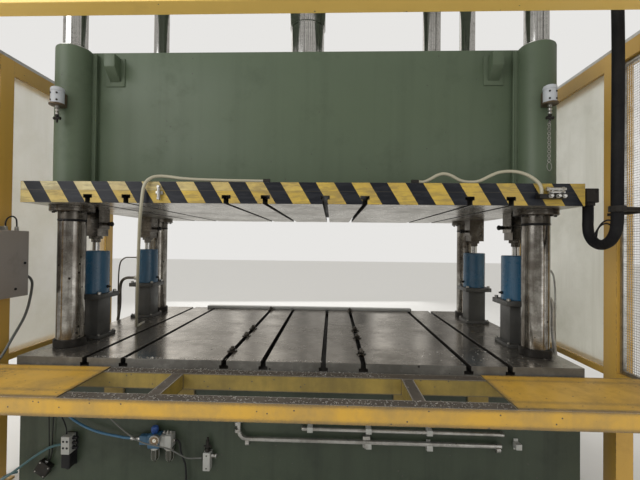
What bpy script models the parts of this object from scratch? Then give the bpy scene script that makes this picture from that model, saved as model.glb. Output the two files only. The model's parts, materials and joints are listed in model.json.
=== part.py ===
"""Four-column hydraulic tool press, built in Blender from its real sizes.

Metres, +Z up. X runs along the press, -Y is the operator's side, and the origin lies on the floor
below the middle of the ram. The ram is modelled resting on its distance sleeves, its lowest place.
"""
import math

import bmesh
import bpy
from mathutils import Matrix, Vector

# Whole press
PRESS_LENGTH = 3.200
PRESS_DEPTH = 1.646
TABLE_HEIGHT = 0.900
DAYLIGHT = 0.889
RAM_STROKE = 0.450
GAP = 0.0003
OVERRUN = 0.010
SINK = 0.002
MERGE_DISTANCE = 0.00005

# Round pieces
ROUND_STEPS = 16
SMALL_STEPS = 8
BOLT_STEPS = 6
SHARP_ANGLE = math.radians(35.0)

# Bed
BED_END_INSET = 0.010
BED_FACE_INSET = 0.020
BED_BASE_THICKNESS = 0.045
BED_BASE_FLANGE = 0.060
BED_POCKET_DEPTH = 0.035
BED_RIB = 0.090
BED_END_POCKETS = 3
BED_POCKET_FLOOR = 0.140
BED_POCKET_ROOF = 0.110
COLUMN_SEAT_DEPTH = 0.300

# T-slots, the 28 mm size, at the same places in the table and in the ram plate
BOLSTER_THICKNESS = 0.120
SLOT_NECK = 0.028
SLOT_HEAD = 0.050
SLOT_HEAD_HEIGHT = 0.020
SLOT_DEPTH = 0.048
SLOT_PLACE_SHARES = (-0.750, -0.609, -0.246, -0.106, 0.106, 0.246, 0.609, 0.750)

# Columns and what slides or sits on them
COLUMN_END_INSET = 0.130
COLUMN_FACE_INSET = 0.247
COLUMN_RADIUS = 0.070
COLUMN_TOP_STUD = 0.040
COLUMN_STUD_RADIUS = 0.058
COLUMN_NUT_RADIUS = 0.115
COLUMN_NUT_HEIGHT = 0.110
COLUMN_COLLAR_RADIUS = 0.100
COLUMN_COLLAR_HEIGHT = 0.080
SLEEVE_RADIUS = 0.079
SLEEVE_FOOT_RADIUS = 0.092
SLEEVE_FOOT_HEIGHT = 0.045
BUSH_FLANGE_RADIUS = 0.125
BUSH_FLANGE_THICKNESS = 0.035
BUSH_BODY_RADIUS = 0.0950
BUSH_NOSE_RADIUS = 0.079
BUSH_NOSE_LENGTH = 0.060

# Ram body: welded box with a guide tube at each corner
PLATEN_THICKNESS = 0.124
RAM_BOX_HEIGHT = 0.899
RAM_BOX_INSET = 0.042
GUIDE_TUBE_RADIUS = 0.107
GUIDE_TUBE_DROP = 0.014
GUIDE_CAP_THICKNESS = 0.025
GUIDE_CAP_CLEARANCE = 0.003
BUSH_END_CLEARANCE = 0.010
WELD_STRIP_WIDTH = 0.040
WELD_STRIP_PROUD = 0.030
LUG_WIDTH = 0.070
LUG_REACH = 0.075
LUG_HEIGHT = 0.180
LUG_LIP = 0.110
LUG_END_INSET = 0.375
HOSE_ELBOW_SIZE = 0.075
HOSE_ELBOW_HEIGHT = 0.080
HOSE_ELBOW_NECK = 0.0325
HOSE_ELBOW_NECK_RADIUS = 0.028
HOSE_ELBOW_INSET = 0.080
HOSE_ELBOW_TOP_DROP = 0.018
HOSE_ELBOW_CHAMFER = 0.004
NIPPLE_RADIUS = 0.013
NIPPLE_LENGTH = 0.040
NIPPLE_LEFT_X = -0.190
NIPPLE_RIGHT_X = 0.700
NIPPLE_INSET = 0.040

# Crown, main cylinder, ram and catcher
CROWN_HEADROOM = 1.1377
CROWN_OVERHANG = 0.110
CROWN_HEIGHT = 0.650
CROWN_POCKETS = 5
CROWN_POCKET_DEPTH = 0.045
CROWN_RIB = 0.110
CROWN_FLANGE = 0.090
PLUNGER_RADIUS = 0.140
PLUNGER_SPIGOT_RADIUS = 0.130
PLUNGER_SPIGOT_LENGTH = 0.4577
PLUNGER_FOOT_RADIUS = 0.190
PLUNGER_FOOT_HEIGHT = 0.060
PLUNGER_IN_CYLINDER = 0.400
CYLINDER_RADIUS = 0.235
CYLINDER_FLANGE_RADIUS = 0.310
CYLINDER_FLANGE_THICKNESS = 0.080
CYLINDER_GLAND_RADIUS = 0.195
CYLINDER_GLAND_HEIGHT = 0.080
CYLINDER_END_CLEARANCE = 0.030
CYLINDER_END_THICKNESS = 0.120
CYLINDER_PORT_RADIUS = 0.060
CYLINDER_PORT_HEIGHT = 0.070
CATCHER_ROD_X = 0.980
CATCHER_ROD_RADIUS = 0.0675
CATCHER_ROD_FOOT_RADIUS = 0.105
CATCHER_ROD_FOOT_HEIGHT = 0.050
CATCHER_ROD_TAIL = 0.060
CATCHER_RADIUS = 0.140
CATCHER_HEIGHT = 0.340
CATCHER_FLANGE_RADIUS = 0.185
CATCHER_FLANGE_THICKNESS = 0.040

# Dampers: stand, cylinder and rod on the table, stop block under the ram plate
DAMPER_END_INSET = 0.140
DAMPER_ROW_INSET = 0.467
STAND_FOOT = 0.190
STAND_FOOT_THICKNESS = 0.022
STAND_PILLAR = 0.140
STAND_HEAD = 0.214
STAND_HEAD_THICKNESS = 0.032
STAND_HEIGHT = 0.304
STAND_BOLT_RADIUS = 0.012
STAND_BOLT_HEIGHT = 0.016
STAND_BOLT_INSET = 0.020
DAMPER_RADIUS = 0.088
DAMPER_HEIGHT = 0.296
DAMPER_ROD_RADIUS = 0.0225
DAMPER_ROD_SHOW = 0.060
DAMPER_ROD_HIDDEN = 0.150
DAMPER_TRAVEL = 0.050
DAMPER_BORE_END = 0.020
STOP_WIDTH = 0.120
STOP_HEIGHT = 0.185
STOP_WAIST = 0.050
STOP_WAIST_CUT = 0.020
STOP_SCREW_RADIUS = 0.030
STOP_NUT_RADIUS = 0.045
STOP_NUT_HEIGHT = 0.020
CLAMP_RADIUS = 0.011
CLAMP_LENGTH = 0.048
CLAMP_DROP = 0.100

# Oil feeders on the front guide tubes
FEEDER_WIDTH = 0.092
FEEDER_DEPTH = 0.066
FEEDER_HEIGHT = 0.112
FEEDER_BASE_FLANGE = 0.009
FEEDER_BASE_THICKNESS = 0.008
FEEDER_RISE = 0.4717
FEEDER_NIPPLE_RADIUS = 0.013
FEEDER_NIPPLE_LENGTH = 0.055
FEEDER_CORNER = 0.008
FEEDER_PAD_WIDTH = 0.050
FEEDER_PAD_DEPTH = 0.012

# Guard around the press
GUARD_TUBE = 0.100
GUARD_CLEARANCE = 0.300
GUARD_RISE = 1.854
GUARD_MID_POST_SETBACK = 0.223
GUARD_REAR_POST_SETBACK = 1.313
GUARD_SILL_DROP = 0.080
GUARD_SILL_DEPTH = 0.040
GUARD_FOOT = 0.160
GUARD_FOOT_THICKNESS = 0.012
TRACK_HEIGHT = 0.030
TRACK_WIDTH = 0.060
PANEL_THICKNESS = 0.004
PANEL_REBATE = 0.020
MESH_WIRE = 0.004
MESH_RIM = 0.024
MESH_BAR_PITCH_SHARES = (0.333, 0.667)

# Front platform
PLATFORM_DROP = 0.048
PLATFORM_BEAM_WIDTH = 0.070
PLATFORM_BEAM_HEIGHT = 0.085
PLATFORM_CLEARANCE = 0.016
PLATFORM_PITCH = 0.334
PLATFORM_TIE_X = 0.620
PLATFORM_TIE_WIDTH = 0.060
PLATFORM_BRACKET_WIDTH = 0.120
PLATFORM_BRACKET_THICKNESS = 0.012
PLATFORM_BRACKET_DROP = 0.120
DECK_THICKNESS = 0.006
DECK_INNER_X = 1.030

# Control box on the left mid post
BOX_WIDTH = 0.380
BOX_HEIGHT = 0.424
BOX_DEPTH = 0.088
BOX_WALL = 0.0025
BOX_DOOR_THICKNESS = 0.014
BOX_SETBACK = 0.295
BOX_RISE = 0.305
HINGE_RADIUS = 0.007
HINGE_LENGTH = 0.060
HINGE_SHARE = 0.80
LOCK_RADIUS = 0.010
LOCK_LENGTH = 0.008
LOCK_INSET = 0.048
LOCK_SHARES = (0.20, 0.58)
BOX_HINGE_CLEARANCE = 0.001

# Air and electric fittings on the bed's front
VALVE_X = -1.275
VALVE_BOTTOM = 0.285
VALVE_WIDTH = 0.048
VALVE_DEPTH = 0.060
VALVE_HEIGHT = 0.180
VALVE_COIL_WIDTH = 0.036
VALVE_COIL_HEIGHT = 0.055
JUNCTION_X = -1.428
JUNCTION_MIDDLE = 0.262
JUNCTION_SIZE = 0.075
JUNCTION_DEPTH = 0.035
JUNCTION_TILT = math.radians(32.0)
AIR_UNIT_X = -0.740
AIR_UNIT_MIDDLE = 0.450
AIR_BODY_WIDTH = 0.062
AIR_BODY_DEPTH = 0.060
AIR_BODY_HEIGHT = 0.075
AIR_BODY_PITCH = 0.076
AIR_BOWL_RADIUS = 0.023
AIR_BOWL_LENGTH = 0.085
AIR_BOWL_SHOULDER = 0.75
AIR_GAUGE_RADIUS = 0.023
AIR_GAUGE_DEPTH = 0.024
AIR_KNOB_RADIUS = 0.019
AIR_KNOB_HEIGHT = 0.038
AIR_KNOB_FLUTE = 0.002
AIR_LINK = 0.024
SHUTOFF_X = -0.477
SHUTOFF_BOTTOM = 0.290
SHUTOFF_WIDTH = 0.040
SHUTOFF_DEPTH = 0.045
SHUTOFF_HEIGHT = 0.120
SHUTOFF_STEM_RADIUS = 0.010
SHUTOFF_STEM_LENGTH = 0.045
PIPE_RADIUS = 0.012
PIPE_BEND = 0.045
PIPE_BEND_STEPS = 3
PIPE_LEFT_X = -0.300
PIPE_RIGHT_X = 1.150
PIPE_HEIGHT = 0.468
PIPE_RISE = 0.150
PIPE_STANDOFF = 0.014
PIPE_CLIP_X = 0.414
PIPE_CLIP_WIDTH = 0.040
PIPE_CLIP_HEIGHT = 0.060

# Hoses
MAIN_HOSE_RADIUS = 0.0275
THIN_HOSE_RADIUS = 0.009
HOSE_POINT_DIAMETERS = 3
HOSE_GLAND_RADIUS = 0.042
HOOK_BAR = 0.020
HOOK_DROP = 0.029
HOOK_OUT = 0.060
HOOK_REACH = 0.143
HOOK_RING_WALL = 0.008
HOOK_RING_CLEARANCE = 0.002
HOOK_RING_HEIGHT = 0.030

# The routes of the three hoses, chosen by hand. The main one's loop is given from the corner of the
# ram plate that it leaves and its rise from the crown's underside there, the left one from its nipple
# on the table's level, and the right one from its nipple on the ram plate's top.
MAIN_HOSE_LOOP = (
    (0.0700, 0.0800, -0.0983), (0.0700, 0.0800, -0.1430), (0.0700, 0.0800, -0.1930),
    (0.0690, 0.0790, -0.2310), (0.0670, 0.0650, -0.2805), (0.0650, 0.0245, -0.3210),
    (0.0630, -0.0310, -0.3360), (0.0610, -0.0865, -0.3210), (0.0600, -0.1270, -0.2805),
    (0.0600, -0.1420, -0.2230), (0.0600, -0.1430, -0.1530), (0.0600, -0.1430, -0.0130),
)
MAIN_HOSE_RISE = (
    (0.0600, -0.1470, -1.3500), (0.0600, -0.1320, -0.9500), (0.0600, -0.0950, -0.6500),
    (0.0600, -0.0390, -0.4100), (0.0600, 0.0170, -0.2300), (0.0600, 0.0430, -0.1200),
    (0.0600, 0.0430, -0.0603),
)
LEFT_HOSE_ROUTE = (
    (-0.0004, 0.0400, 1.0250), (-0.0400, 0.0400, 1.0250), (-0.2100, 0.0370, 1.0270),
    (-0.3700, 0.0310, 1.0300), (-0.4700, 0.0240, 1.0350), (-0.5400, 0.0170, 1.0430),
    (-0.5900, 0.0080, 1.0450), (-0.6300, -0.0070, 1.0340), (-0.6590, -0.0190, 1.0050),
    (-0.6710, -0.0250, 0.9620), (-0.6760, -0.0270, 0.9050), (-0.6830, -0.0230, 0.8550),
    (-0.6960, -0.0060, 0.8100), (-0.7180, 0.0290, 0.7560), (-0.7860, 0.1470, 0.6060),
    (-0.8520, 0.2630, 0.4620), (-0.9180, 0.3790, 0.3190), (-0.9840, 0.4960, 0.1810),
    (-1.0320, 0.5820, 0.0900), (-1.0600, 0.6330, 0.0460), (-1.0830, 0.6800, 0.0200),
    (-1.1020, 0.7280, 0.0115), (-1.1160, 0.7780, 0.0108), (-1.1260, 0.8330, 0.0108),
)
RIGHT_HOSE_ROUTE = (
    (0.0004, 0.0400, 0.0120), (0.0300, 0.0400, 0.0120), (0.0650, 0.0380, 0.0270),
    (0.1050, 0.0370, 0.0500), (0.1450, 0.0360, 0.0580), (0.1850, 0.0350, 0.0460),
    (0.2350, 0.0340, 0.0190), (0.2900, 0.0340, 0.0110), (0.3400, 0.0330, 0.0180),
    (0.3950, 0.0330, 0.0450), (0.4500, 0.0320, 0.0670), (0.5150, 0.0290, 0.0720),
    (0.5650, 0.0200, 0.0620), (0.6050, 0.0030, 0.0380), (0.6380, -0.0150, 0.0020),
    (0.6500, -0.0233, -0.0330), (0.6500, -0.0233, -0.0636),
)
MANIFOLD_X = 1.405
MANIFOLD_LENGTH = 0.150
MANIFOLD_HEIGHT = 0.024
MANIFOLD_DEPTH = 0.046
MANIFOLD_DROP = 0.064
MANIFOLD_PORT_RADIUS = 0.009
MANIFOLD_PORT_LENGTH = 0.020

# Levels and places that follow from the sizes above
COLUMN_SPAN_X = PRESS_LENGTH - 2 * COLUMN_END_INSET
COLUMN_SPAN_Y = PRESS_DEPTH - 2 * COLUMN_FACE_INSET
DAMPER_SPAN_X = PRESS_LENGTH - 2 * DAMPER_END_INSET
DAMPER_SPAN_Y = PRESS_DEPTH - 2 * DAMPER_ROW_INSET
BED_LENGTH = PRESS_LENGTH - 2 * BED_END_INSET
BED_DEPTH = PRESS_DEPTH - 2 * BED_FACE_INSET
CROWN_LENGTH = PRESS_LENGTH + 2 * CROWN_OVERHANG
PLATEN_BOTTOM = TABLE_HEIGHT + DAYLIGHT
PLATEN_TOP = PLATEN_BOTTOM + PLATEN_THICKNESS
RAM_BOX_BOTTOM = PLATEN_TOP + GAP
RAM_BOX_TOP = RAM_BOX_BOTTOM + RAM_BOX_HEIGHT
GUIDE_TUBE_TOP = RAM_BOX_TOP - GUIDE_TUBE_DROP
BED_TOP = TABLE_HEIGHT - BOLSTER_THICKNESS - GAP
BED_FRONT_Y = -BED_DEPTH / 2
PLATE_FRONT_Y = -PRESS_DEPTH / 2
CROWN_UNDERSIDE = RAM_BOX_TOP + CROWN_HEADROOM
CROWN_TOP = CROWN_UNDERSIDE + CROWN_HEIGHT
SLEEVE_TOP = PLATEN_BOTTOM - BUSH_FLANGE_THICKNESS - BUSH_NOSE_LENGTH - GAP
STAND_TOP = TABLE_HEIGHT + STAND_HEIGHT
DAMPER_TOP = STAND_TOP + GAP + DAMPER_HEIGHT
DAMPER_ROD_TOP = DAMPER_TOP + DAMPER_ROD_SHOW
PLUNGER_TOP = CROWN_UNDERSIDE + PLUNGER_IN_CYLINDER
CYLINDER_BORE_TOP = PLUNGER_TOP + RAM_STROKE + CYLINDER_END_CLEARANCE
CATCHER_TOP = CROWN_TOP + GAP + CATCHER_HEIGHT
PLATFORM_TOP = TABLE_HEIGHT - PLATFORM_DROP
PLATFORM_REAR_Y = PLATE_FRONT_Y - PLATFORM_CLEARANCE
PLATFORM_FRONT_Y = PLATFORM_REAR_Y - PLATFORM_PITCH - PLATFORM_BEAM_WIDTH
GUARD_FRONT_POST_Y = PLATFORM_FRONT_Y + PLATFORM_BEAM_WIDTH / 2
GUARD_MID_POST_Y = PLATE_FRONT_Y + GUARD_MID_POST_SETBACK
GUARD_REAR_POST_Y = PLATE_FRONT_Y + GUARD_REAR_POST_SETBACK
GUARD_INNER_HALF = PRESS_LENGTH / 2 + GUARD_CLEARANCE
GUARD_POST_X = GUARD_INNER_HALF + GUARD_TUBE / 2
GUARD_TOP = TABLE_HEIGHT + GUARD_RISE
GUARD_SILL_TOP = TABLE_HEIGHT - GUARD_SILL_DROP
GUARD_RAIL_BOTTOM = GUARD_TOP - GUARD_TUBE
FEEDER_BOTTOM = RAM_BOX_BOTTOM + FEEDER_RISE
MANIFOLD_TOP = PLATEN_TOP - MANIFOLD_DROP
HOOK_HEIGHT = PLATEN_BOTTOM - HOOK_DROP
BOX_REAR_Y = PLATE_FRONT_Y + BOX_SETBACK
BOX_BOTTOM = TABLE_HEIGHT + BOX_RISE
BOX_FRONT_Y = BOX_REAR_Y - BOX_WIDTH
BOX_BACK_X = -GUARD_INNER_HALF + GAP
BOX_DOOR_X = BOX_BACK_X + BOX_DEPTH + GAP

SIDES = (("left", -1), ("right", 1))
ROWS = (("front", -1), ("rear", 1))
CORNERS = tuple((f"{row}_{side}", sx, sy) for row, sy in ROWS for side, sx in SIDES)

# A clean scene with one collection for the pieces and one for what cuts them
for leftover in list(bpy.data.objects):
    bpy.data.objects.remove(leftover, do_unlink=True)
PIECES = bpy.data.collections.new("Hydraulic press")
CUTTERS = bpy.data.collections.new("Cutters")
for collection in (PIECES, CUTTERS):
    bpy.context.scene.collection.children.link(collection)

PALETTE = {
    "green paint": ((0.110, 0.165, 0.110), 0.45, 0.0),
    "bed paint": ((0.045, 0.075, 0.048), 0.50, 0.0),
    "yellow paint": ((0.560, 0.320, 0.035), 0.45, 0.0),
    "hazard paint": ((0.520, 0.380, 0.060), 0.50, 0.0),
    "machined steel": ((0.230, 0.215, 0.190), 0.35, 0.9),
    "bright steel": ((0.420, 0.410, 0.390), 0.20, 1.0),
    "chrome": ((0.600, 0.600, 0.600), 0.08, 1.0),
    "dark steel": ((0.045, 0.045, 0.045), 0.50, 0.6),
    "blue paint": ((0.030, 0.090, 0.160), 0.40, 0.0),
    "white plastic": ((0.620, 0.640, 0.650), 0.40, 0.0),
    "cream panel": ((0.600, 0.560, 0.480), 0.60, 0.0),
    "clear panel": ((0.600, 0.610, 0.600), 0.15, 0.0),
    "grey paint": ((0.250, 0.240, 0.220), 0.45, 0.0),
    "zinc": ((0.420, 0.420, 0.410), 0.35, 0.9),
    "black rubber": ((0.012, 0.012, 0.012), 0.70, 0.0),
    "cream hose": ((0.480, 0.440, 0.330), 0.50, 0.0),
}


def paint(name):
    """Return the material of that name, made from the palette the first time it is used."""
    material = bpy.data.materials.get(name)
    if material is None:
        color, roughness, metallic = PALETTE[name]
        material = bpy.data.materials.new(name)
        material.use_nodes = True
        shader = material.node_tree.nodes["Principled BSDF"]
        shader.inputs["Base Color"].default_value = (*color, 1.0)
        shader.inputs["Roughness"].default_value = roughness
        shader.inputs["Metallic"].default_value = metallic
    return material


def placed(name, mesh, place=(0, 0, 0), turn=(0, 0, 0)):
    """Put a mesh in the scene as an object of that name."""
    piece = bpy.data.objects.new(name, mesh)
    piece.location = place
    piece.rotation_euler = turn
    PIECES.objects.link(piece)
    return piece


def block(name, size, centre, turn=(0, 0, 0)):
    """A rectangular block of that size about its centre."""
    shape = bmesh.new()
    bmesh.ops.create_cube(shape, size=1)
    bmesh.ops.scale(shape, vec=Vector(size), verts=shape.verts)
    mesh = bpy.data.meshes.new(name)
    shape.to_mesh(mesh)
    shape.free()
    return placed(name, mesh, centre, turn)


def span(name, low, high):
    """A rectangular block between its lowest and highest corners."""
    size = [high[axis] - low[axis] for axis in range(3)]
    centre = [(high[axis] + low[axis]) / 2 for axis in range(3)]
    return block(name, size, centre)


def turned(name, profile, place=(0, 0, 0), turn=(0, 0, 0), steps=ROUND_STEPS):
    """Turn a profile of radius and height about Z, its outer side given from top to bottom.

    A profile that starts on the axis is solid, and one that starts off the axis is closed to a ring.
    """
    mesh = bpy.data.meshes.new(name)
    points = [(radius, 0, height) for radius, height in profile]
    edges = [(index, index + 1) for index in range(len(points) - 1)]
    if profile[0][0] > 0:
        edges.append((len(points) - 1, 0))
    mesh.from_pydata(points, edges, [])
    piece = placed(name, mesh, place, turn)
    screw = piece.modifiers.new("Turn", "SCREW")
    screw.steps = steps
    screw.render_steps = steps
    screw.use_merge_vertices = True
    screw.merge_threshold = MERGE_DISTANCE
    return piece


def rod(name, radius, top, bottom, place=(0, 0, 0), turn=(0, 0, 0), steps=ROUND_STEPS):
    """A plain round bar between two heights."""
    profile = [(0, top), (radius, top), (radius, bottom), (0, bottom)]
    return turned(name, profile, place, turn, steps)


def prism(name, outline, thickness, place=(0, 0, 0), turn=(0, 0, 0)):
    """Extrude a flat outline to both sides of its plane, as a closed mesh."""
    curve = bpy.data.curves.new(name, "CURVE")
    curve.dimensions = "2D"
    curve.fill_mode = "BOTH"
    curve.extrude = thickness / 2
    line = curve.splines.new("POLY")
    line.points.add(len(outline) - 1)
    for point, (across, up) in zip(line.points, outline):
        point.co = (across, up, 0, 1)
    line.use_cyclic_u = True
    return solid_of_curve(name, curve, place, turn)


def solid_of_curve(name, curve, place=(0, 0, 0), turn=(0, 0, 0)):
    """Turn a curve into a mesh object with its caps welded on."""
    guide = placed(name + "_curve", curve, place, turn)
    graph = bpy.context.evaluated_depsgraph_get()
    mesh = bpy.data.meshes.new_from_object(guide.evaluated_get(graph))
    shape = bmesh.new()
    shape.from_mesh(mesh)
    bmesh.ops.remove_doubles(shape, verts=shape.verts, dist=MERGE_DISTANCE)
    shape.to_mesh(mesh)
    shape.free()
    matrix = guide.matrix_world.copy()
    bpy.data.objects.remove(guide, do_unlink=True)
    piece = placed(name, mesh)
    piece.matrix_world = matrix
    return piece


def tube(name, route, radius):
    """A plain round tube through the points of a route."""
    curve = bpy.data.curves.new(name, "CURVE")
    curve.dimensions = "3D"
    curve.bevel_depth = radius
    curve.bevel_resolution = 2
    curve.use_fill_caps = True
    line = curve.splines.new("POLY")
    line.points.add(len(route) - 1)
    for point, position in zip(line.points, route):
        point.co = (*position, 1)
    return solid_of_curve(name, curve)


def combine(piece, tools, operation):
    """Join tools to a piece, or cut them from it, one exact Boolean each."""
    for tool in tools:
        change = piece.modifiers.new(operation.title(), "BOOLEAN")
        change.object = tool
        change.operation = operation
        change.solver = "EXACT"
        PIECES.objects.unlink(tool)
        CUTTERS.objects.link(tool)
        tool.hide_render = True
        tool.display_type = "WIRE"
    return piece


def join(piece, *tools):
    """Join the tools to a piece."""
    return combine(piece, tools, "UNION")


def cut(piece, *tools):
    """Cut the tools from a piece."""
    return combine(piece, tools, "DIFFERENCE")


def settle(piece, material, carrier=None):
    """Give a piece its final mesh, smooth on round faces, its material and its carrier."""
    graph = bpy.context.evaluated_depsgraph_get()
    mesh = bpy.data.meshes.new_from_object(piece.evaluated_get(graph))
    piece.modifiers.clear()
    piece.data = mesh
    mesh.name = piece.name
    mesh.shade_smooth()
    mesh.set_sharp_from_angle(angle=SHARP_ANGLE)
    mesh.materials.clear()
    mesh.materials.append(paint(material))
    if carrier is not None:
        piece.parent = carrier
        piece.matrix_parent_inverse = Matrix.Translation(carrier.location).inverted()
    for tool in list(CUTTERS.objects):
        bpy.data.objects.remove(tool, do_unlink=True)
    return piece


def pivot(name, place):
    """An empty on a joint's axis that carries the pieces of one moving body."""
    empty = bpy.data.objects.new(name, None)
    empty.location = place
    PIECES.objects.link(empty)
    return empty


def pockets_along(name, count, rib, length, low, high, depth, face, axis, side):
    """Shallow pockets between upright ribs, spread along one face of a welded box."""
    width = (length - (count + 1) * rib) / count
    tools = []
    for index in range(count):
        along = -length / 2 + rib + width / 2 + index * (width + rib)
        reach = depth + OVERRUN
        across = side * (face - depth + reach / 2)
        centre = (along, across, (low + high) / 2) if axis == 0 else (across, along, (low + high) / 2)
        size = (width, reach, high - low) if axis == 0 else (reach, width, high - low)
        tools.append(block(f"{name}_{index}", size, centre))
    return tools


def column_bores(name, radius, top, bottom):
    """Cutters for four holes on the columns' centres."""
    return [rod(f"{name}_{corner}", radius, top, bottom,
                (sx * COLUMN_SPAN_X / 2, sy * COLUMN_SPAN_Y / 2, 0))
            for corner, sx, sy in CORNERS]


def build_bed():
    """Welded bed with a floor flange, column seats and ribbed ends."""
    base = block("bed", (BED_LENGTH + 2 * BED_BASE_FLANGE, BED_DEPTH + 2 * BED_BASE_FLANGE,
                         BED_BASE_THICKNESS), (0, 0, BED_BASE_THICKNESS / 2))
    body = span("bed_body", (-BED_LENGTH / 2, BED_FRONT_Y, BED_BASE_THICKNESS / 2),
                (BED_LENGTH / 2, -BED_FRONT_Y, BED_TOP))
    join(base, body)
    low, high = BED_POCKET_FLOOR, BED_TOP - BED_POCKET_ROOF
    for side_name, side in SIDES:
        cut(base, *pockets_along(f"end_pocket_{side_name}", BED_END_POCKETS, BED_RIB, BED_DEPTH,
                                 low, high, BED_POCKET_DEPTH, BED_LENGTH / 2, 1, side))
    cut(base, *column_bores("seat", COLUMN_RADIUS + GAP, BED_TOP + OVERRUN, BED_TOP - COLUMN_SEAT_DEPTH))
    settle(base, "bed paint")


def t_slots(name, face, direction):
    """Cutters for the T-slots of a plate. The slots open at the face, and direction points out of it."""
    head_low = SLOT_DEPTH
    head_high = SLOT_DEPTH - SLOT_HEAD_HEIGHT
    neck, head = SLOT_NECK / 2, SLOT_HEAD / 2
    outline = [(neck, OVERRUN), (neck, -head_high), (head, -head_high), (head, -head_low),
               (-head, -head_low), (-head, -head_high), (-neck, -head_high), (-neck, OVERRUN)]
    outline = [(across, face + direction * up) for across, up in outline]
    length = PRESS_DEPTH + 2 * OVERRUN
    return [prism(f"{name}_{index}", outline, length, (share * PRESS_LENGTH / 2, 0, 0),
                  (math.pi / 2, 0, 0))
            for index, share in enumerate(SLOT_PLACE_SHARES)]


def chamfered(piece, width):
    """Break the edges of a block before it is cut."""
    bevel = piece.modifiers.new("Edges", "BEVEL")
    bevel.width = width
    bevel.segments = 1
    return piece


def build_table():
    """T-slotted bolster table on the bed."""
    table = span("bolster_table", (-PRESS_LENGTH / 2, PLATE_FRONT_Y, TABLE_HEIGHT - BOLSTER_THICKNESS),
                 (PRESS_LENGTH / 2, -PLATE_FRONT_Y, TABLE_HEIGHT))
    cut(table, *t_slots("table_slot", TABLE_HEIGHT, 1))
    cut(table, *column_bores("table_bore", COLUMN_RADIUS + GAP, TABLE_HEIGHT + OVERRUN,
                             TABLE_HEIGHT - BOLSTER_THICKNESS - OVERRUN))
    settle(table, "machined steel")


def build_columns():
    """Tie columns from the bed to the crown, each with its nut and collar, and their sleeves."""
    foot = BED_TOP - COLUMN_SEAT_DEPTH + GAP
    nut_low = CROWN_TOP + GAP
    nut_top = nut_low + COLUMN_NUT_HEIGHT
    collar_top = CROWN_UNDERSIDE - GAP
    collar_low = collar_top - COLUMN_COLLAR_HEIGHT
    column_profile = [(0, nut_top + COLUMN_TOP_STUD), (COLUMN_STUD_RADIUS, nut_top + COLUMN_TOP_STUD),
                      (COLUMN_STUD_RADIUS, nut_top), (COLUMN_NUT_RADIUS, nut_top),
                      (COLUMN_NUT_RADIUS, nut_low), (COLUMN_RADIUS, nut_low), (COLUMN_RADIUS, collar_top),
                      (COLUMN_COLLAR_RADIUS, collar_top), (COLUMN_COLLAR_RADIUS, collar_low),
                      (COLUMN_RADIUS, collar_low), (COLUMN_RADIUS, foot), (0, foot)]
    inner = COLUMN_RADIUS + GAP
    sleeve_low = TABLE_HEIGHT + GAP
    foot_top = sleeve_low + SLEEVE_FOOT_HEIGHT
    sleeve_profile = [(SLEEVE_RADIUS, SLEEVE_TOP), (SLEEVE_RADIUS, foot_top), (SLEEVE_FOOT_RADIUS, foot_top),
                      (SLEEVE_FOOT_RADIUS, sleeve_low), (inner, sleeve_low), (inner, SLEEVE_TOP)]
    for corner, sx, sy in CORNERS:
        place = (sx * COLUMN_SPAN_X / 2, sy * COLUMN_SPAN_Y / 2, 0)
        settle(turned(f"column_{corner}", column_profile, place), "bright steel")
        settle(turned(f"distance_sleeve_{corner}", sleeve_profile, place), "bright steel")


def build_crown():
    """Welded crown with ribbed faces, column bores and bores for the cylinder and the catcher rod."""
    crown = span("crown", (-CROWN_LENGTH / 2, PLATE_FRONT_Y, CROWN_UNDERSIDE),
                 (CROWN_LENGTH / 2, -PLATE_FRONT_Y, CROWN_TOP))
    low, high = CROWN_UNDERSIDE + CROWN_FLANGE, CROWN_TOP - CROWN_FLANGE
    for side_name, side in ROWS:
        cut(crown, *pockets_along(f"crown_pocket_{side_name}", CROWN_POCKETS, CROWN_RIB, CROWN_LENGTH,
                                  low, high, CROWN_POCKET_DEPTH, PRESS_DEPTH / 2, 0, side))
    top, bottom = CROWN_TOP + OVERRUN, CROWN_UNDERSIDE - OVERRUN
    cut(crown, *column_bores("crown_bore", COLUMN_RADIUS + GAP, top, bottom))
    cut(crown, rod("cylinder_bore", CYLINDER_RADIUS + GAP, top, bottom),
        rod("catcher_bore", CATCHER_ROD_RADIUS + GAP, top, bottom, (CATCHER_ROD_X, 0, 0)))
    settle(crown, "green paint")


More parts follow.
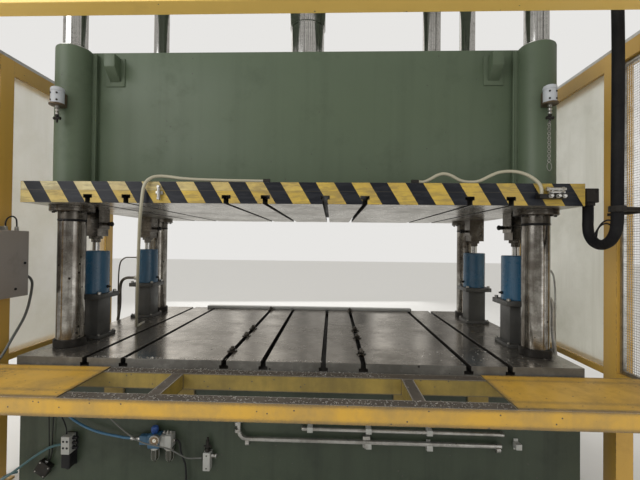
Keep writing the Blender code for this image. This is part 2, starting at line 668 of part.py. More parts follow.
def build_cylinder():
    """Main cylinder hung by its flange in the crown, open at its gland for the plunger."""
    top = CYLINDER_BORE_TOP + CYLINDER_END_THICKNESS
    port_top = top + CYLINDER_PORT_HEIGHT
    flange_low = CROWN_TOP + GAP
    flange_top = flange_low + CYLINDER_FLANGE_THICKNESS
    gland_low = CROWN_UNDERSIDE - CYLINDER_GLAND_HEIGHT
    bore = PLUNGER_RADIUS + GAP
    profile = [(0, port_top), (CYLINDER_PORT_RADIUS, port_top), (CYLINDER_PORT_RADIUS, top),
               (CYLINDER_RADIUS, top), (CYLINDER_RADIUS, flange_top), (CYLINDER_FLANGE_RADIUS, flange_top),
               (CYLINDER_FLANGE_RADIUS, flange_low), (CYLINDER_RADIUS, flange_low),
               (CYLINDER_RADIUS, CROWN_UNDERSIDE), (CYLINDER_GLAND_RADIUS, CROWN_UNDERSIDE),
               (CYLINDER_GLAND_RADIUS, gland_low), (bore, gland_low), (bore, CYLINDER_BORE_TOP),
               (0, CYLINDER_BORE_TOP)]
    settle(turned("main_cylinder", profile), "green paint")
    flange_top = CROWN_TOP + GAP + CATCHER_FLANGE_THICKNESS
    inner = CATCHER_ROD_RADIUS + GAP
    housing = [(CATCHER_RADIUS, CATCHER_TOP), (CATCHER_RADIUS, flange_top),
               (CATCHER_FLANGE_RADIUS, flange_top), (CATCHER_FLANGE_RADIUS, CROWN_TOP + GAP),
               (inner, CROWN_TOP + GAP), (inner, CATCHER_TOP)]
    settle(turned("rod_catcher", housing, (CATCHER_ROD_X, 0, 0)), "dark steel")


def build_plunger(ram):
    """Plunger and catcher rod, both standing on the ram box."""
    foot_low = RAM_BOX_TOP + GAP
    foot_top = foot_low + PLUNGER_FOOT_HEIGHT
    step = RAM_BOX_TOP + PLUNGER_SPIGOT_LENGTH
    profile = [(0, PLUNGER_TOP), (PLUNGER_RADIUS, PLUNGER_TOP), (PLUNGER_RADIUS, step),
               (PLUNGER_SPIGOT_RADIUS, step), (PLUNGER_SPIGOT_RADIUS, foot_top),
               (PLUNGER_FOOT_RADIUS, foot_top), (PLUNGER_FOOT_RADIUS, foot_low), (0, foot_low)]
    settle(turned("plunger", profile), "chrome", ram)
    foot_top = foot_low + CATCHER_ROD_FOOT_HEIGHT
    tail = CATCHER_TOP + CATCHER_ROD_TAIL
    profile = [(0, tail), (CATCHER_ROD_RADIUS, tail), (CATCHER_ROD_RADIUS, foot_top),
               (CATCHER_ROD_FOOT_RADIUS, foot_top), (CATCHER_ROD_FOOT_RADIUS, foot_low), (0, foot_low)]
    settle(turned("catcher_rod", profile, (CATCHER_ROD_X, 0, 0)), "chrome", ram)


def build_ram_box(ram):
    """Welded ram box with corner guide tubes, weld strips and lifting lugs."""
    half_length, half_depth = COLUMN_SPAN_X / 2, COLUMN_SPAN_Y / 2 - RAM_BOX_INSET
    tube_middle = (GUIDE_TUBE_TOP + RAM_BOX_BOTTOM) / 2
    box = span("ram_box", (-half_length, -half_depth, RAM_BOX_BOTTOM),
               (half_length, half_depth, RAM_BOX_TOP))
    for corner, sx, sy in CORNERS:
        place = (sx * half_length, sy * COLUMN_SPAN_Y / 2, 0)
        join(box, rod(f"tube_{corner}", GUIDE_TUBE_RADIUS, GUIDE_TUBE_TOP, RAM_BOX_BOTTOM, place))
        strip_x = half_length - GUIDE_TUBE_RADIUS
        strip = block(f"strip_{corner}",
                      (WELD_STRIP_WIDTH, 2 * WELD_STRIP_PROUD, GUIDE_TUBE_TOP - RAM_BOX_BOTTOM),
                      (sx * strip_x, sy * half_depth, tube_middle))
        join(box, strip)
    for side_name, side in SIDES:
        lug_top = RAM_BOX_TOP - SINK
        outline = [(-half_depth + SINK, lug_top), (-half_depth - LUG_REACH, lug_top),
                   (-half_depth - LUG_REACH, lug_top - LUG_LIP), (-half_depth + SINK, lug_top - LUG_HEIGHT)]
        join(box, prism(f"lug_{side_name}", outline, LUG_WIDTH,
                        (side * (PRESS_LENGTH / 2 - LUG_END_INSET), 0, 0), (math.pi / 2, 0, math.pi / 2)))
    liner = BUSH_BODY_RADIUS + GAP
    shoulder = GUIDE_TUBE_TOP - GUIDE_CAP_THICKNESS
    mouth = COLUMN_RADIUS + GUIDE_CAP_CLEARANCE
    bore = [(0, RAM_BOX_TOP + OVERRUN), (mouth, RAM_BOX_TOP + OVERRUN), (mouth, shoulder),
            (liner, shoulder), (liner, RAM_BOX_BOTTOM - OVERRUN), (0, RAM_BOX_BOTTOM - OVERRUN)]
    cut(box, *[turned(f"bore_{corner}", bore, (sx * half_length, sy * COLUMN_SPAN_Y / 2, 0))
               for corner, sx, sy in CORNERS])
    settle(box, "green paint", ram)


def build_platen(ram):
    """T-slotted ram plate with its hose elbow and nipples, and the guide bushes it carries."""
    platen = span("ram_plate", (-PRESS_LENGTH / 2, PLATE_FRONT_Y, PLATEN_BOTTOM),
                  (PRESS_LENGTH / 2, -PLATE_FRONT_Y, PLATEN_TOP))
    cut(platen, *t_slots("platen_slot", PLATEN_BOTTOM, -1))
    liner = BUSH_BODY_RADIUS + GAP
    cut(platen, *column_bores("platen_bore", liner, PLATEN_TOP + OVERRUN, PLATEN_BOTTOM - OVERRUN))
    elbow_y = PLATE_FRONT_Y + HOSE_ELBOW_INSET
    elbow_x = PRESS_LENGTH / 2 + HOSE_ELBOW_NECK + HOSE_ELBOW_SIZE / 2
    elbow_z = PLATEN_TOP - HOSE_ELBOW_TOP_DROP - HOSE_ELBOW_HEIGHT / 2
    join(platen, rod("elbow_neck", HOSE_ELBOW_NECK_RADIUS, HOSE_ELBOW_NECK + SINK, -SINK,
                     (PRESS_LENGTH / 2, elbow_y, elbow_z), (0, math.pi / 2, 0), SMALL_STEPS),
         chamfered(block("elbow", (HOSE_ELBOW_SIZE, HOSE_ELBOW_SIZE, HOSE_ELBOW_HEIGHT),
                         (elbow_x, elbow_y, elbow_z)), HOSE_ELBOW_CHAMFER))
    for nipple_x, side in ((NIPPLE_LEFT_X, -1), (NIPPLE_RIGHT_X, 1)):
        join(platen, rod("nipple", NIPPLE_RADIUS, 0, -NIPPLE_LENGTH,
                         (nipple_x, PLATE_FRONT_Y + NIPPLE_INSET, PLATEN_TOP + NIPPLE_RADIUS - SINK / 2),
                         (0, side * math.pi / 2, 0), BOLT_STEPS))
    settle(platen, "hazard paint", ram)
    inner = COLUMN_RADIUS + GAP
    top = GUIDE_TUBE_TOP - GUIDE_CAP_THICKNESS - BUSH_END_CLEARANCE
    flange_top = PLATEN_BOTTOM - GAP
    flange_low = PLATEN_BOTTOM - BUSH_FLANGE_THICKNESS
    nose_low = flange_low - BUSH_NOSE_LENGTH
    profile = [(BUSH_BODY_RADIUS, top), (BUSH_BODY_RADIUS, flange_top),
               (BUSH_FLANGE_RADIUS, flange_top), (BUSH_FLANGE_RADIUS, flange_low),
               (BUSH_NOSE_RADIUS, flange_low), (BUSH_NOSE_RADIUS, nose_low),
               (inner, nose_low), (inner, top)]
    for corner, sx, sy in CORNERS:
        place = (sx * COLUMN_SPAN_X / 2, sy * COLUMN_SPAN_Y / 2, 0)
        settle(turned(f"guide_bush_{corner}", profile, place), "bright steel", ram)


def build_dampers(ram):
    """Four dampers on the table and the stop blocks that meet them under the ram plate."""
    low = TABLE_HEIGHT + GAP
    head_low = STAND_TOP - STAND_HEAD_THICKNESS
    bolt_place = STAND_HEAD / 2 - STAND_BOLT_INSET
    cylinder_low = STAND_TOP + GAP
    rod_low = DAMPER_TOP - DAMPER_ROD_HIDDEN
    bore_low = rod_low - DAMPER_TRAVEL - DAMPER_BORE_END
    bore = DAMPER_ROD_RADIUS + GAP
    body = [(0, bore_low), (bore, bore_low), (bore, DAMPER_TOP), (DAMPER_RADIUS, DAMPER_TOP),
            (DAMPER_RADIUS, cylinder_low), (0, cylinder_low)]
    stop_top = PLATEN_BOTTOM - GAP
    stop_low = PLATEN_BOTTOM - STOP_HEIGHT
    screw_low = DAMPER_ROD_TOP + GAP
    for corner, sx, sy in CORNERS:
        x, y = sx * DAMPER_SPAN_X / 2, sy * DAMPER_SPAN_Y / 2
        stand = block(f"damper_stand_{corner}", (STAND_FOOT, STAND_FOOT, STAND_FOOT_THICKNESS),
                      (x, y, low + STAND_FOOT_THICKNESS / 2))
        pillar = block("pillar", (STAND_PILLAR, STAND_PILLAR, STAND_HEIGHT - STAND_FOOT_THICKNESS),
                       (x, y, (low + STAND_TOP) / 2))
        head = block("head", (STAND_HEAD, STAND_HEAD, STAND_HEAD_THICKNESS),
                     (x, y, (head_low + STAND_TOP) / 2))
        join(stand, pillar, head)
        for _, bolt_x, bolt_y in CORNERS:
            join(stand, rod("bolt", STAND_BOLT_RADIUS, STAND_TOP + STAND_BOLT_HEIGHT, STAND_TOP - SINK,
                            (x + bolt_x * bolt_place, y + bolt_y * bolt_place, 0), steps=BOLT_STEPS))
        settle(stand, "dark steel")
        settle(turned(f"damper_cylinder_{corner}", body, (x, y, 0)), "blue paint")
        carrier = pivot(f"damper_travel_{corner}", (x, y, DAMPER_TOP))
        settle(rod(f"damper_rod_{corner}", DAMPER_ROD_RADIUS, DAMPER_ROD_TOP, rod_low, (x, y, 0)),
               "chrome", carrier)
        stop = block(f"stop_block_{corner}", (STOP_WIDTH, STOP_WIDTH, stop_top - stop_low),
                     (x, y, (stop_top + stop_low) / 2))
        cut(stop, block("waist", (STOP_WAIST_CUT, STOP_WIDTH + OVERRUN, STOP_WAIST + OVERRUN),
                        (x - sx * (STOP_WIDTH / 2), y, stop_low + (STOP_WAIST - OVERRUN) / 2)))
        nut_low = stop_low - STOP_NUT_HEIGHT
        screw = [(0, stop_low + SINK), (STOP_NUT_RADIUS, stop_low + SINK), (STOP_NUT_RADIUS, nut_low),
                 (STOP_SCREW_RADIUS, nut_low), (STOP_SCREW_RADIUS, screw_low), (0, screw_low)]
        clamp_place = (x - sx * STOP_WIDTH / 2, y, PLATEN_BOTTOM - CLAMP_DROP)
        join(stop, turned("screw", screw, (x, y, 0), steps=SMALL_STEPS),
             rod("clamp", CLAMP_RADIUS, CLAMP_LENGTH, -SINK, clamp_place, (0, -sx * math.pi / 2, 0),
                 SMALL_STEPS))
        settle(stop, "dark steel", ram)


def build_feeders(ram):
    """Oil feeder on each front guide tube: canister, base, nipple and the pad it is screwed to."""
    tube_front = -COLUMN_SPAN_Y / 2 - GUIDE_TUBE_RADIUS
    for side_name, side in SIDES:
        x = side * COLUMN_SPAN_X / 2
        back = tube_front - GAP - FEEDER_PAD_DEPTH
        y = back - FEEDER_DEPTH / 2 + SINK
        base_z = FEEDER_BOTTOM + FEEDER_BASE_THICKNESS / 2
        feeder = block(f"oil_feeder_{side_name}", (FEEDER_WIDTH, FEEDER_DEPTH, FEEDER_HEIGHT),
                       (x, y, FEEDER_BOTTOM + FEEDER_BASE_THICKNESS + FEEDER_HEIGHT / 2 - SINK))
        chamfered(feeder, FEEDER_CORNER)
        join(feeder, block("base", (FEEDER_WIDTH + 2 * FEEDER_BASE_FLANGE, FEEDER_DEPTH + FEEDER_BASE_FLANGE,
                                    FEEDER_BASE_THICKNESS), (x, y - FEEDER_BASE_FLANGE / 2, base_z)),
             block("pad", (FEEDER_PAD_WIDTH, FEEDER_PAD_DEPTH, FEEDER_HEIGHT / 2),
                   (x, back + FEEDER_PAD_DEPTH / 2, FEEDER_BOTTOM + FEEDER_HEIGHT / 2)),
             rod("nipple", FEEDER_NIPPLE_RADIUS, FEEDER_BOTTOM + SINK, FEEDER_BOTTOM - FEEDER_NIPPLE_LENGTH,
                 (x, y, 0), steps=BOLT_STEPS))
        settle(feeder, "white plastic", ram)


def build_manifold(ram):
    """Small valve manifold screwed to the ram plate's front, fed by the right thin hose."""
    face = PLATE_FRONT_Y - GAP
    middle = MANIFOLD_TOP - MANIFOLD_HEIGHT / 2
    manifold = block("ram_manifold", (MANIFOLD_LENGTH, MANIFOLD_DEPTH, MANIFOLD_HEIGHT),
                     (MANIFOLD_X, face - MANIFOLD_DEPTH / 2, middle))
    for share in (-1 / 4, 1 / 4):
        join(manifold, rod("port", MANIFOLD_PORT_RADIUS, MANIFOLD_PORT_LENGTH, -SINK,
                           (MANIFOLD_X + share * MANIFOLD_LENGTH, face - MANIFOLD_DEPTH, middle),
                           (math.pi / 2, 0, 0), BOLT_STEPS))
    settle(manifold, "dark steel", ram)


def build_guard():
    """Guard of square tube: a frame with its door track at each end, the front lintel and panels."""
    low = GUARD_FOOT_THICKNESS / 2
    for side_name, side in SIDES:
        x = side * GUARD_POST_X
        frame = block(f"guard_frame_{side_name}", (GUARD_TUBE, GUARD_TUBE, GUARD_TOP - low),
                      (x, GUARD_FRONT_POST_Y, (GUARD_TOP + low) / 2))
        for post_y in (GUARD_MID_POST_Y, GUARD_REAR_POST_Y):
            join(frame, block("post", (GUARD_TUBE, GUARD_TUBE, GUARD_TOP - low - SINK),
                              (x, post_y, (GUARD_TOP + low - SINK) / 2)))
        for post_y in (GUARD_FRONT_POST_Y, GUARD_MID_POST_Y, GUARD_REAR_POST_Y):
            join(frame, block("foot", (GUARD_FOOT, GUARD_FOOT, GUARD_FOOT_THICKNESS),
                              (x, post_y, GUARD_FOOT_THICKNESS / 2)))
        length = GUARD_REAR_POST_Y - GUARD_FRONT_POST_Y
        middle = (GUARD_REAR_POST_Y + GUARD_FRONT_POST_Y) / 2
        join(frame, block("rail", (GUARD_TUBE - 2 * SINK, length, GUARD_TUBE - SINK),
                          (x, middle, GUARD_TOP - (GUARD_TUBE + SINK) / 2)))
        join(frame, block("sill", (GUARD_TUBE - 2 * SINK, length, GUARD_SILL_DEPTH),
                          (x, middle, GUARD_SILL_TOP - GUARD_SILL_DEPTH / 2)))
        join(frame, block("top_track", (TRACK_WIDTH, length, TRACK_HEIGHT + SINK),
                          (x, middle, GUARD_TOP + (TRACK_HEIGHT - SINK) / 2)))
        settle(frame, "yellow paint")
        bay = GUARD_REAR_POST_Y - GUARD_MID_POST_Y - GUARD_TUBE - 2 * GAP
        bay_middle = (GUARD_REAR_POST_Y + GUARD_MID_POST_Y) / 2
        bay_low, bay_high = GUARD_SILL_TOP + GAP, GUARD_RAIL_BOTTOM - GAP
        panel = block(f"side_panel_{side_name}", (PANEL_THICKNESS, bay, bay_high - bay_low),
                      (side * (GUARD_INNER_HALF + PANEL_REBATE), bay_middle, (bay_low + bay_high) / 2))
        settle(panel, "cream panel" if side < 0 else "clear panel")
    build_mesh_panel()
    lintel_length = 2 * GUARD_INNER_HALF - 2 * GAP
    lintel = block("guard_lintel", (lintel_length, GUARD_TUBE, GUARD_TUBE),
                   (0, GUARD_FRONT_POST_Y, GUARD_TOP - GUARD_TUBE / 2))
    settle(lintel, "yellow paint")


def build_mesh_panel():
    """Framed wire panel in the right front bay, with a few of its wires as bars."""
    low, high = GUARD_SILL_TOP + GAP, GUARD_RAIL_BOTTOM - GAP
    bay = GUARD_MID_POST_Y - GUARD_FRONT_POST_Y - GUARD_TUBE - 2 * GAP
    middle = (GUARD_MID_POST_Y + GUARD_FRONT_POST_Y) / 2
    x = GUARD_INNER_HALF + PANEL_REBATE + MESH_RIM / 2
    panel = block("mesh_panel_right", (MESH_RIM, bay, high - low), (x, middle, (low + high) / 2))
    window = (MESH_RIM + OVERRUN, bay - 2 * MESH_RIM, high - low - 2 * MESH_RIM)
    cut(panel, block("window", window, (x, middle, (low + high) / 2)))
    for share in MESH_BAR_PITCH_SHARES:
        bar_z = low + share * (high - low)
        join(panel, block("cross_bar", (MESH_RIM / 2, bay - MESH_RIM, MESH_RIM / 2), (x, middle, bar_z)))
    join(panel, block("wire_field", (MESH_WIRE, bay - MESH_RIM, high - low - MESH_RIM),
                      (x, middle, (low + high) / 2)))
    settle(panel, "zinc")


def build_platform():
    """Yellow front platform, welded of two beams, ties, brackets and a deck plate at each end."""
    end = GUARD_INNER_HALF - GAP
    middle_z = PLATFORM_TOP - PLATFORM_BEAM_HEIGHT / 2
    rear_y = PLATFORM_REAR_Y - PLATFORM_BEAM_WIDTH / 2
    front_y = PLATFORM_FRONT_Y + PLATFORM_BEAM_WIDTH / 2
    beam = (2 * end, PLATFORM_BEAM_WIDTH, PLATFORM_BEAM_HEIGHT)
    frame = block("platform_frame", beam, (0, rear_y, middle_z))
    join(frame, block("front_beam", beam, (0, front_y, middle_z)))
    tie_places = (-end + PLATFORM_TIE_WIDTH, -PLATFORM_TIE_X, PLATFORM_TIE_X, end - PLATFORM_TIE_WIDTH)
    for tie_x in tie_places:
        join(frame, block("tie", (PLATFORM_TIE_WIDTH, rear_y - front_y, PLATFORM_BEAM_HEIGHT - 2 * SINK),
                          (tie_x, (rear_y + front_y) / 2, middle_z)))
    shelf_y = BED_FRONT_Y - GAP
    beam_low = PLATFORM_TOP - PLATFORM_BEAM_HEIGHT
    for side_name, side in SIDES:
        for bracket_x in (side * PLATFORM_TIE_X, side * DECK_INNER_X):
            shelf = span("shelf", (bracket_x - PLATFORM_BRACKET_WIDTH / 2, rear_y,
                                   beam_low - PLATFORM_BRACKET_THICKNESS),
                         (bracket_x + PLATFORM_BRACKET_WIDTH / 2, shelf_y, beam_low + SINK))
            cheek = span("cheek", (bracket_x - PLATFORM_BRACKET_WIDTH / 2 + SINK,
                                   shelf_y - PLATFORM_BRACKET_THICKNESS, beam_low - PLATFORM_BRACKET_DROP),
                         (bracket_x + PLATFORM_BRACKET_WIDTH / 2 - SINK, shelf_y, beam_low))
            join(frame, shelf, cheek)
        deck_low, deck_high = PLATFORM_TOP - SINK, PLATFORM_TOP + DECK_THICKNESS
        join(frame, span(f"deck_{side_name}",
                         (min(side * DECK_INNER_X, side * end), PLATFORM_FRONT_Y + SINK, deck_low),
                         (max(side * DECK_INNER_X, side * end) - SINK, PLATFORM_REAR_Y - SINK, deck_high)))
    settle(frame, "yellow paint")


def build_control_box():
    """Sheet box on the left mid post, with a door that turns on its front edge."""
    middle_y = (BOX_FRONT_Y + BOX_REAR_Y) / 2
    middle_z = BOX_BOTTOM + BOX_HEIGHT / 2
    box = block("control_box", (BOX_DEPTH, BOX_WIDTH, BOX_HEIGHT),
                (BOX_BACK_X + BOX_DEPTH / 2, middle_y, middle_z))
    cut(box, block("inside", (BOX_DEPTH, BOX_WIDTH - 2 * BOX_WALL, BOX_HEIGHT - 2 * BOX_WALL),
                   (BOX_BACK_X + BOX_WALL + BOX_DEPTH / 2, middle_y, middle_z)))
    settle(box, "grey paint")
    hinge_y = BOX_FRONT_Y - HINGE_RADIUS - BOX_HINGE_CLEARANCE
    hinge_x = BOX_DOOR_X + BOX_DOOR_THICKNESS / 2
    carrier = pivot("control_box_hinge", (hinge_x, hinge_y, middle_z))
    door = block("control_box_door", (BOX_DOOR_THICKNESS, BOX_WIDTH, BOX_HEIGHT),
                 (hinge_x, middle_y, middle_z))
    leaf_depth = HINGE_RADIUS + BOX_HINGE_CLEARANCE + SINK
    for side in (-1, 1):
        knuckle_z = middle_z + side * HINGE_SHARE * BOX_HEIGHT / 2
        join(door, rod("knuckle", HINGE_RADIUS, HINGE_LENGTH / 2, -HINGE_LENGTH / 2,
                       (hinge_x, hinge_y, knuckle_z), steps=SMALL_STEPS),
             block("leaf", (HINGE_RADIUS, leaf_depth, HINGE_LENGTH - SINK),
                   (hinge_x, hinge_y + leaf_depth / 2, knuckle_z)))
    lock_x, lock_y = BOX_DOOR_X + BOX_DOOR_THICKNESS, BOX_REAR_Y - LOCK_INSET
    for share in LOCK_SHARES:
        join(door, rod("lock", LOCK_RADIUS, LOCK_LENGTH, -SINK,
                       (lock_x, lock_y, BOX_BOTTOM + share * BOX_HEIGHT),
                       (0, math.pi / 2, 0), BOLT_STEPS))
    settle(door, "grey paint", carrier)


def build_fittings():
    """Air and electric fittings on the bed's front plate."""
    face = BED_FRONT_Y - GAP
    valve = block("solenoid_valve", (VALVE_WIDTH, VALVE_DEPTH, VALVE_HEIGHT - VALVE_COIL_HEIGHT),
                  (VALVE_X, face - VALVE_DEPTH / 2, VALVE_BOTTOM + (VALVE_HEIGHT + VALVE_COIL_HEIGHT) / 2))
    join(valve, block("coil", (VALVE_COIL_WIDTH, VALVE_DEPTH - SINK, VALVE_COIL_HEIGHT + SINK),
                      (VALVE_X, face - VALVE_DEPTH / 2 - SINK / 2, VALVE_BOTTOM + VALVE_COIL_HEIGHT / 2)))
    settle(valve, "zinc")
    junction = block("junction_box", (JUNCTION_SIZE, JUNCTION_DEPTH, JUNCTION_SIZE),
                     (JUNCTION_X, face - JUNCTION_DEPTH / 2, JUNCTION_MIDDLE), (0, JUNCTION_TILT, 0))
    settle(junction, "dark steel")
    build_air_unit(face)
    shutoff = block("shutoff_valve", (SHUTOFF_WIDTH, SHUTOFF_DEPTH, SHUTOFF_HEIGHT),
                    (SHUTOFF_X, face - SHUTOFF_DEPTH / 2, SHUTOFF_BOTTOM + SHUTOFF_HEIGHT / 2))
    top = SHUTOFF_BOTTOM + SHUTOFF_HEIGHT
    join(shutoff, rod("stem", SHUTOFF_STEM_RADIUS, top + SHUTOFF_STEM_LENGTH, top - SINK,
                      (SHUTOFF_X, face - SHUTOFF_DEPTH / 2, 0), steps=SMALL_STEPS))
    settle(shutoff, "zinc")
    build_conduit(face)


def build_air_unit(face):
    """Air service unit: two blocks with bowls, a gauge in front and a turning knob on top."""
    y = face - AIR_BODY_DEPTH / 2
    places = (AIR_UNIT_X - AIR_BODY_PITCH / 2, AIR_UNIT_X + AIR_BODY_PITCH / 2)
    body = (AIR_BODY_WIDTH, AIR_BODY_DEPTH, AIR_BODY_HEIGHT)
    unit = block("air_service_unit", body, (places[0], y, AIR_UNIT_MIDDLE))
    low = AIR_UNIT_MIDDLE - AIR_BODY_HEIGHT / 2
    join(unit, block("lubricator", body, (places[1], y, AIR_UNIT_MIDDLE)),
         block("link", (AIR_BODY_PITCH, AIR_LINK, AIR_LINK), (AIR_UNIT_X, y, AIR_UNIT_MIDDLE)))
    for place in places:
        bowl = [(0, low + SINK), (AIR_BOWL_RADIUS, low + SINK),
                (AIR_BOWL_RADIUS, low - AIR_BOWL_SHOULDER * AIR_BOWL_LENGTH),
                (AIR_BOWL_RADIUS / 2, low - AIR_BOWL_LENGTH), (0, low - AIR_BOWL_LENGTH)]
        join(unit, turned("bowl", bowl, (place, y, 0), steps=SMALL_STEPS))
    join(unit, rod("gauge", AIR_GAUGE_RADIUS, AIR_GAUGE_DEPTH, -SINK,
                   (places[0], face - AIR_BODY_DEPTH, AIR_UNIT_MIDDLE), (math.pi / 2, 0, 0), SMALL_STEPS))
    settle(unit, "zinc")
    knob_low = AIR_UNIT_MIDDLE + AIR_BODY_HEIGHT / 2 + GAP
    carrier = pivot("regulator_axis", (places[0], y, knob_low))
    outline = []
    for step in range(ROUND_STEPS):
        angle = math.tau * step / ROUND_STEPS
        reach = AIR_KNOB_RADIUS - AIR_KNOB_FLUTE * (step % 2)
        outline.append((reach * math.cos(angle), reach * math.sin(angle)))
    knob = prism("regulator_knob", outline, AIR_KNOB_HEIGHT, (places[0], y, knob_low + AIR_KNOB_HEIGHT / 2))
    settle(knob, "blue paint", carrier)


def build_conduit(face):
    """Steel conduit along the bed with an elbow at its left end, held in one clip."""
    y = face - PIPE_STANDOFF - PIPE_RADIUS
    route = [(PIPE_RIGHT_X, y, PIPE_HEIGHT), (PIPE_LEFT_X + PIPE_BEND, y, PIPE_HEIGHT)]
    for step in range(1, PIPE_BEND_STEPS + 1):
        angle = step * math.pi / (2 * PIPE_BEND_STEPS)
        route.append((PIPE_LEFT_X + PIPE_BEND * (1 - math.sin(angle)), y,
                      PIPE_HEIGHT + PIPE_BEND * (1 - math.cos(angle))))
    route.append((PIPE_LEFT_X, y, PIPE_HEIGHT + PIPE_RISE))
    conduit = tube("conduit", route, PIPE_RADIUS)
    reach = PIPE_STANDOFF + PIPE_RADIUS
    clip = block("clip", (PIPE_CLIP_WIDTH, reach, PIPE_CLIP_HEIGHT),
                 (PIPE_CLIP_X, face - reach / 2, PIPE_HEIGHT))
    foot = block("foot", (PIPE_CLIP_WIDTH, reach, PIPE_CLIP_WIDTH),
                 (PIPE_LEFT_X, face - reach / 2, PIPE_HEIGHT + PIPE_RISE - PIPE_CLIP_WIDTH))
    settle(join(conduit, clip, foot), "zinc")


def moved(route, origin):
    """A route's points, each moved by its origin."""
    return [Vector(origin) + Vector(point) for point in route]


def laid(knots, spacing):
    """Points read evenly from the smooth curve through the knots of a route."""
    knots = [2 * knots[0] - knots[1], *knots, 2 * knots[-1] - knots[-2]]
    points = [knots[1]]
    for before, start, end, after in zip(knots, knots[1:], knots[2:], knots[3:]):
        steps = max(1, round((end - start).length / spacing))
        for step in range(1, steps + 1):
            share = step / steps
            points.append(0.5 * (2 * start + (end - before) * share
                                 + (2 * before - 5 * start + 4 * end - after) * share ** 2
                                 + (3 * start - before - 3 * end + after) * share ** 3))
    return points


def build_hoses():
    """The main hose bundle, with the gland and the hook that hold it."""
    route = laid(moved(MAIN_HOSE_LOOP, (PRESS_LENGTH / 2, PLATE_FRONT_Y, PLATEN_TOP))
                 + moved(MAIN_HOSE_RISE, (PRESS_LENGTH / 2, PLATE_FRONT_Y, CROWN_UNDERSIDE)),
                 HOSE_POINT_DIAMETERS * 2 * MAIN_HOSE_RADIUS)
    settle(tube("main_hose", route, MAIN_HOSE_RADIUS), "black rubber")
    top = route[-1]
    gland_low = top[2] + GAP
    gland = [(0, CROWN_UNDERSIDE - GAP), (HOSE_GLAND_RADIUS, CROWN_UNDERSIDE - GAP),
             (HOSE_GLAND_RADIUS, gland_low), (0, gland_low)]
    settle(turned("hose_gland", gland, (top[0], top[1], 0), steps=SMALL_STEPS), "zinc")
    ring_inner = MAIN_HOSE_RADIUS + HOOK_RING_CLEARANCE
    ring_outer = ring_inner + HOOK_RING_WALL
    hook_x, hook_y = PRESS_LENGTH / 2 + HOOK_OUT, PLATE_FRONT_Y - HOOK_REACH
    hook = turned("hose_hook", [(ring_outer, HOOK_RING_HEIGHT / 2), (ring_outer, -HOOK_RING_HEIGHT / 2),
                                (ring_inner, -HOOK_RING_HEIGHT / 2), (ring_inner, HOOK_RING_HEIGHT / 2)],
                  (hook_x, hook_y, HOOK_HEIGHT), steps=SMALL_STEPS)
    bar_start = hook_x + ring_inner + HOOK_RING_WALL / 2
    bar_end = GUARD_INNER_HALF - GAP
    corner_y = GUARD_MID_POST_Y - GUARD_TUBE / 2 + HOOK_BAR
    half_bar = HOOK_BAR / 2
    leg_size = half_bar - SINK
    join(hook, span("arm", (bar_start, hook_y - half_bar, HOOK_HEIGHT - half_bar),
                    (bar_end - HOOK_BAR, hook_y + half_bar, HOOK_HEIGHT + half_bar)),
         span("leg", (bar_end - 2 * HOOK_BAR + SINK, hook_y - leg_size, HOOK_HEIGHT - leg_size),
              (bar_end, corner_y, HOOK_HEIGHT + leg_size)))
    settle(hook, "dark steel")


def build_thin_hoses(ram):
    """Thin air hoses on the ram plate. The left one hangs to the table with its coupling."""
    spacing = HOSE_POINT_DIAMETERS * 2 * THIN_HOSE_RADIUS
    left = laid(moved(LEFT_HOSE_ROUTE, (NIPPLE_LEFT_X, PLATE_FRONT_Y, TABLE_HEIGHT)), spacing)
    right = laid(moved(RIGHT_HOSE_ROUTE, (NIPPLE_RIGHT_X, PLATE_FRONT_Y, PLATEN_TOP)), spacing)
    settle(tube("thin_hose_left", left, THIN_HOSE_RADIUS), "cream hose", ram)
    settle(tube("thin_hose_right", right, THIN_HOSE_RADIUS), "cream hose", ram)


def build_press():
    """Build every piece, with one empty for the ram's travel."""
    ram = pivot("ram_travel", (0, 0, PLATEN_BOTTOM))
    build_bed()
    build_table()
    build_columns()
    build_crown()
    build_cylinder()
    build_plunger(ram)
    build_ram_box(ram)
    build_platen(ram)
    build_dampers(ram)
    build_feeders(ram)
    build_manifold(ram)
    build_guard()
    build_platform()
    build_control_box()
    build_fittings()
    build_hoses()
    build_thin_hoses(ram)


build_press()
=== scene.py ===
"""Looks of a four-column hydraulic tool press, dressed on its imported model."""
from __future__ import annotations

import json
import logging
import math
import random
from collections.abc import Callable, Iterable, Iterator, Mapping, Sequence
from dataclasses import dataclass
from enum import Enum

import bmesh
import bpy
from mathutils import Matrix, Vector


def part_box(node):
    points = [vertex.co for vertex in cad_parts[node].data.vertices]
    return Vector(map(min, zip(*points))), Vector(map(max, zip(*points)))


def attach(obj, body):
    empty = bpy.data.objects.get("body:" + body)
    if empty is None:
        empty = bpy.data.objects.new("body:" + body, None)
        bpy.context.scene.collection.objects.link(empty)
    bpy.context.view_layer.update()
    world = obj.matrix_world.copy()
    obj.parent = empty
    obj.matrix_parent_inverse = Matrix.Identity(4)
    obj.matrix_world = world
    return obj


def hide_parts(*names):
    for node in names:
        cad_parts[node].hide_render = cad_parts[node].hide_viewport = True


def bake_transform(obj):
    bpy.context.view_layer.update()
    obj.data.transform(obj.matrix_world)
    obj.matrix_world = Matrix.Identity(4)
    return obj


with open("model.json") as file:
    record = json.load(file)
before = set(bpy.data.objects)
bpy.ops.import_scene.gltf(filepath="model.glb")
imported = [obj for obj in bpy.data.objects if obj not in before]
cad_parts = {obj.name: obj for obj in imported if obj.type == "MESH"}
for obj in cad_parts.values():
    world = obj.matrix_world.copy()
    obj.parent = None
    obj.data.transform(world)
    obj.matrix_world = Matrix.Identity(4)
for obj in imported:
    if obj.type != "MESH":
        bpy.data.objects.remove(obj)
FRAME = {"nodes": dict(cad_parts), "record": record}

LOG = logging.getLogger("press")
Color = tuple[float, float, float]
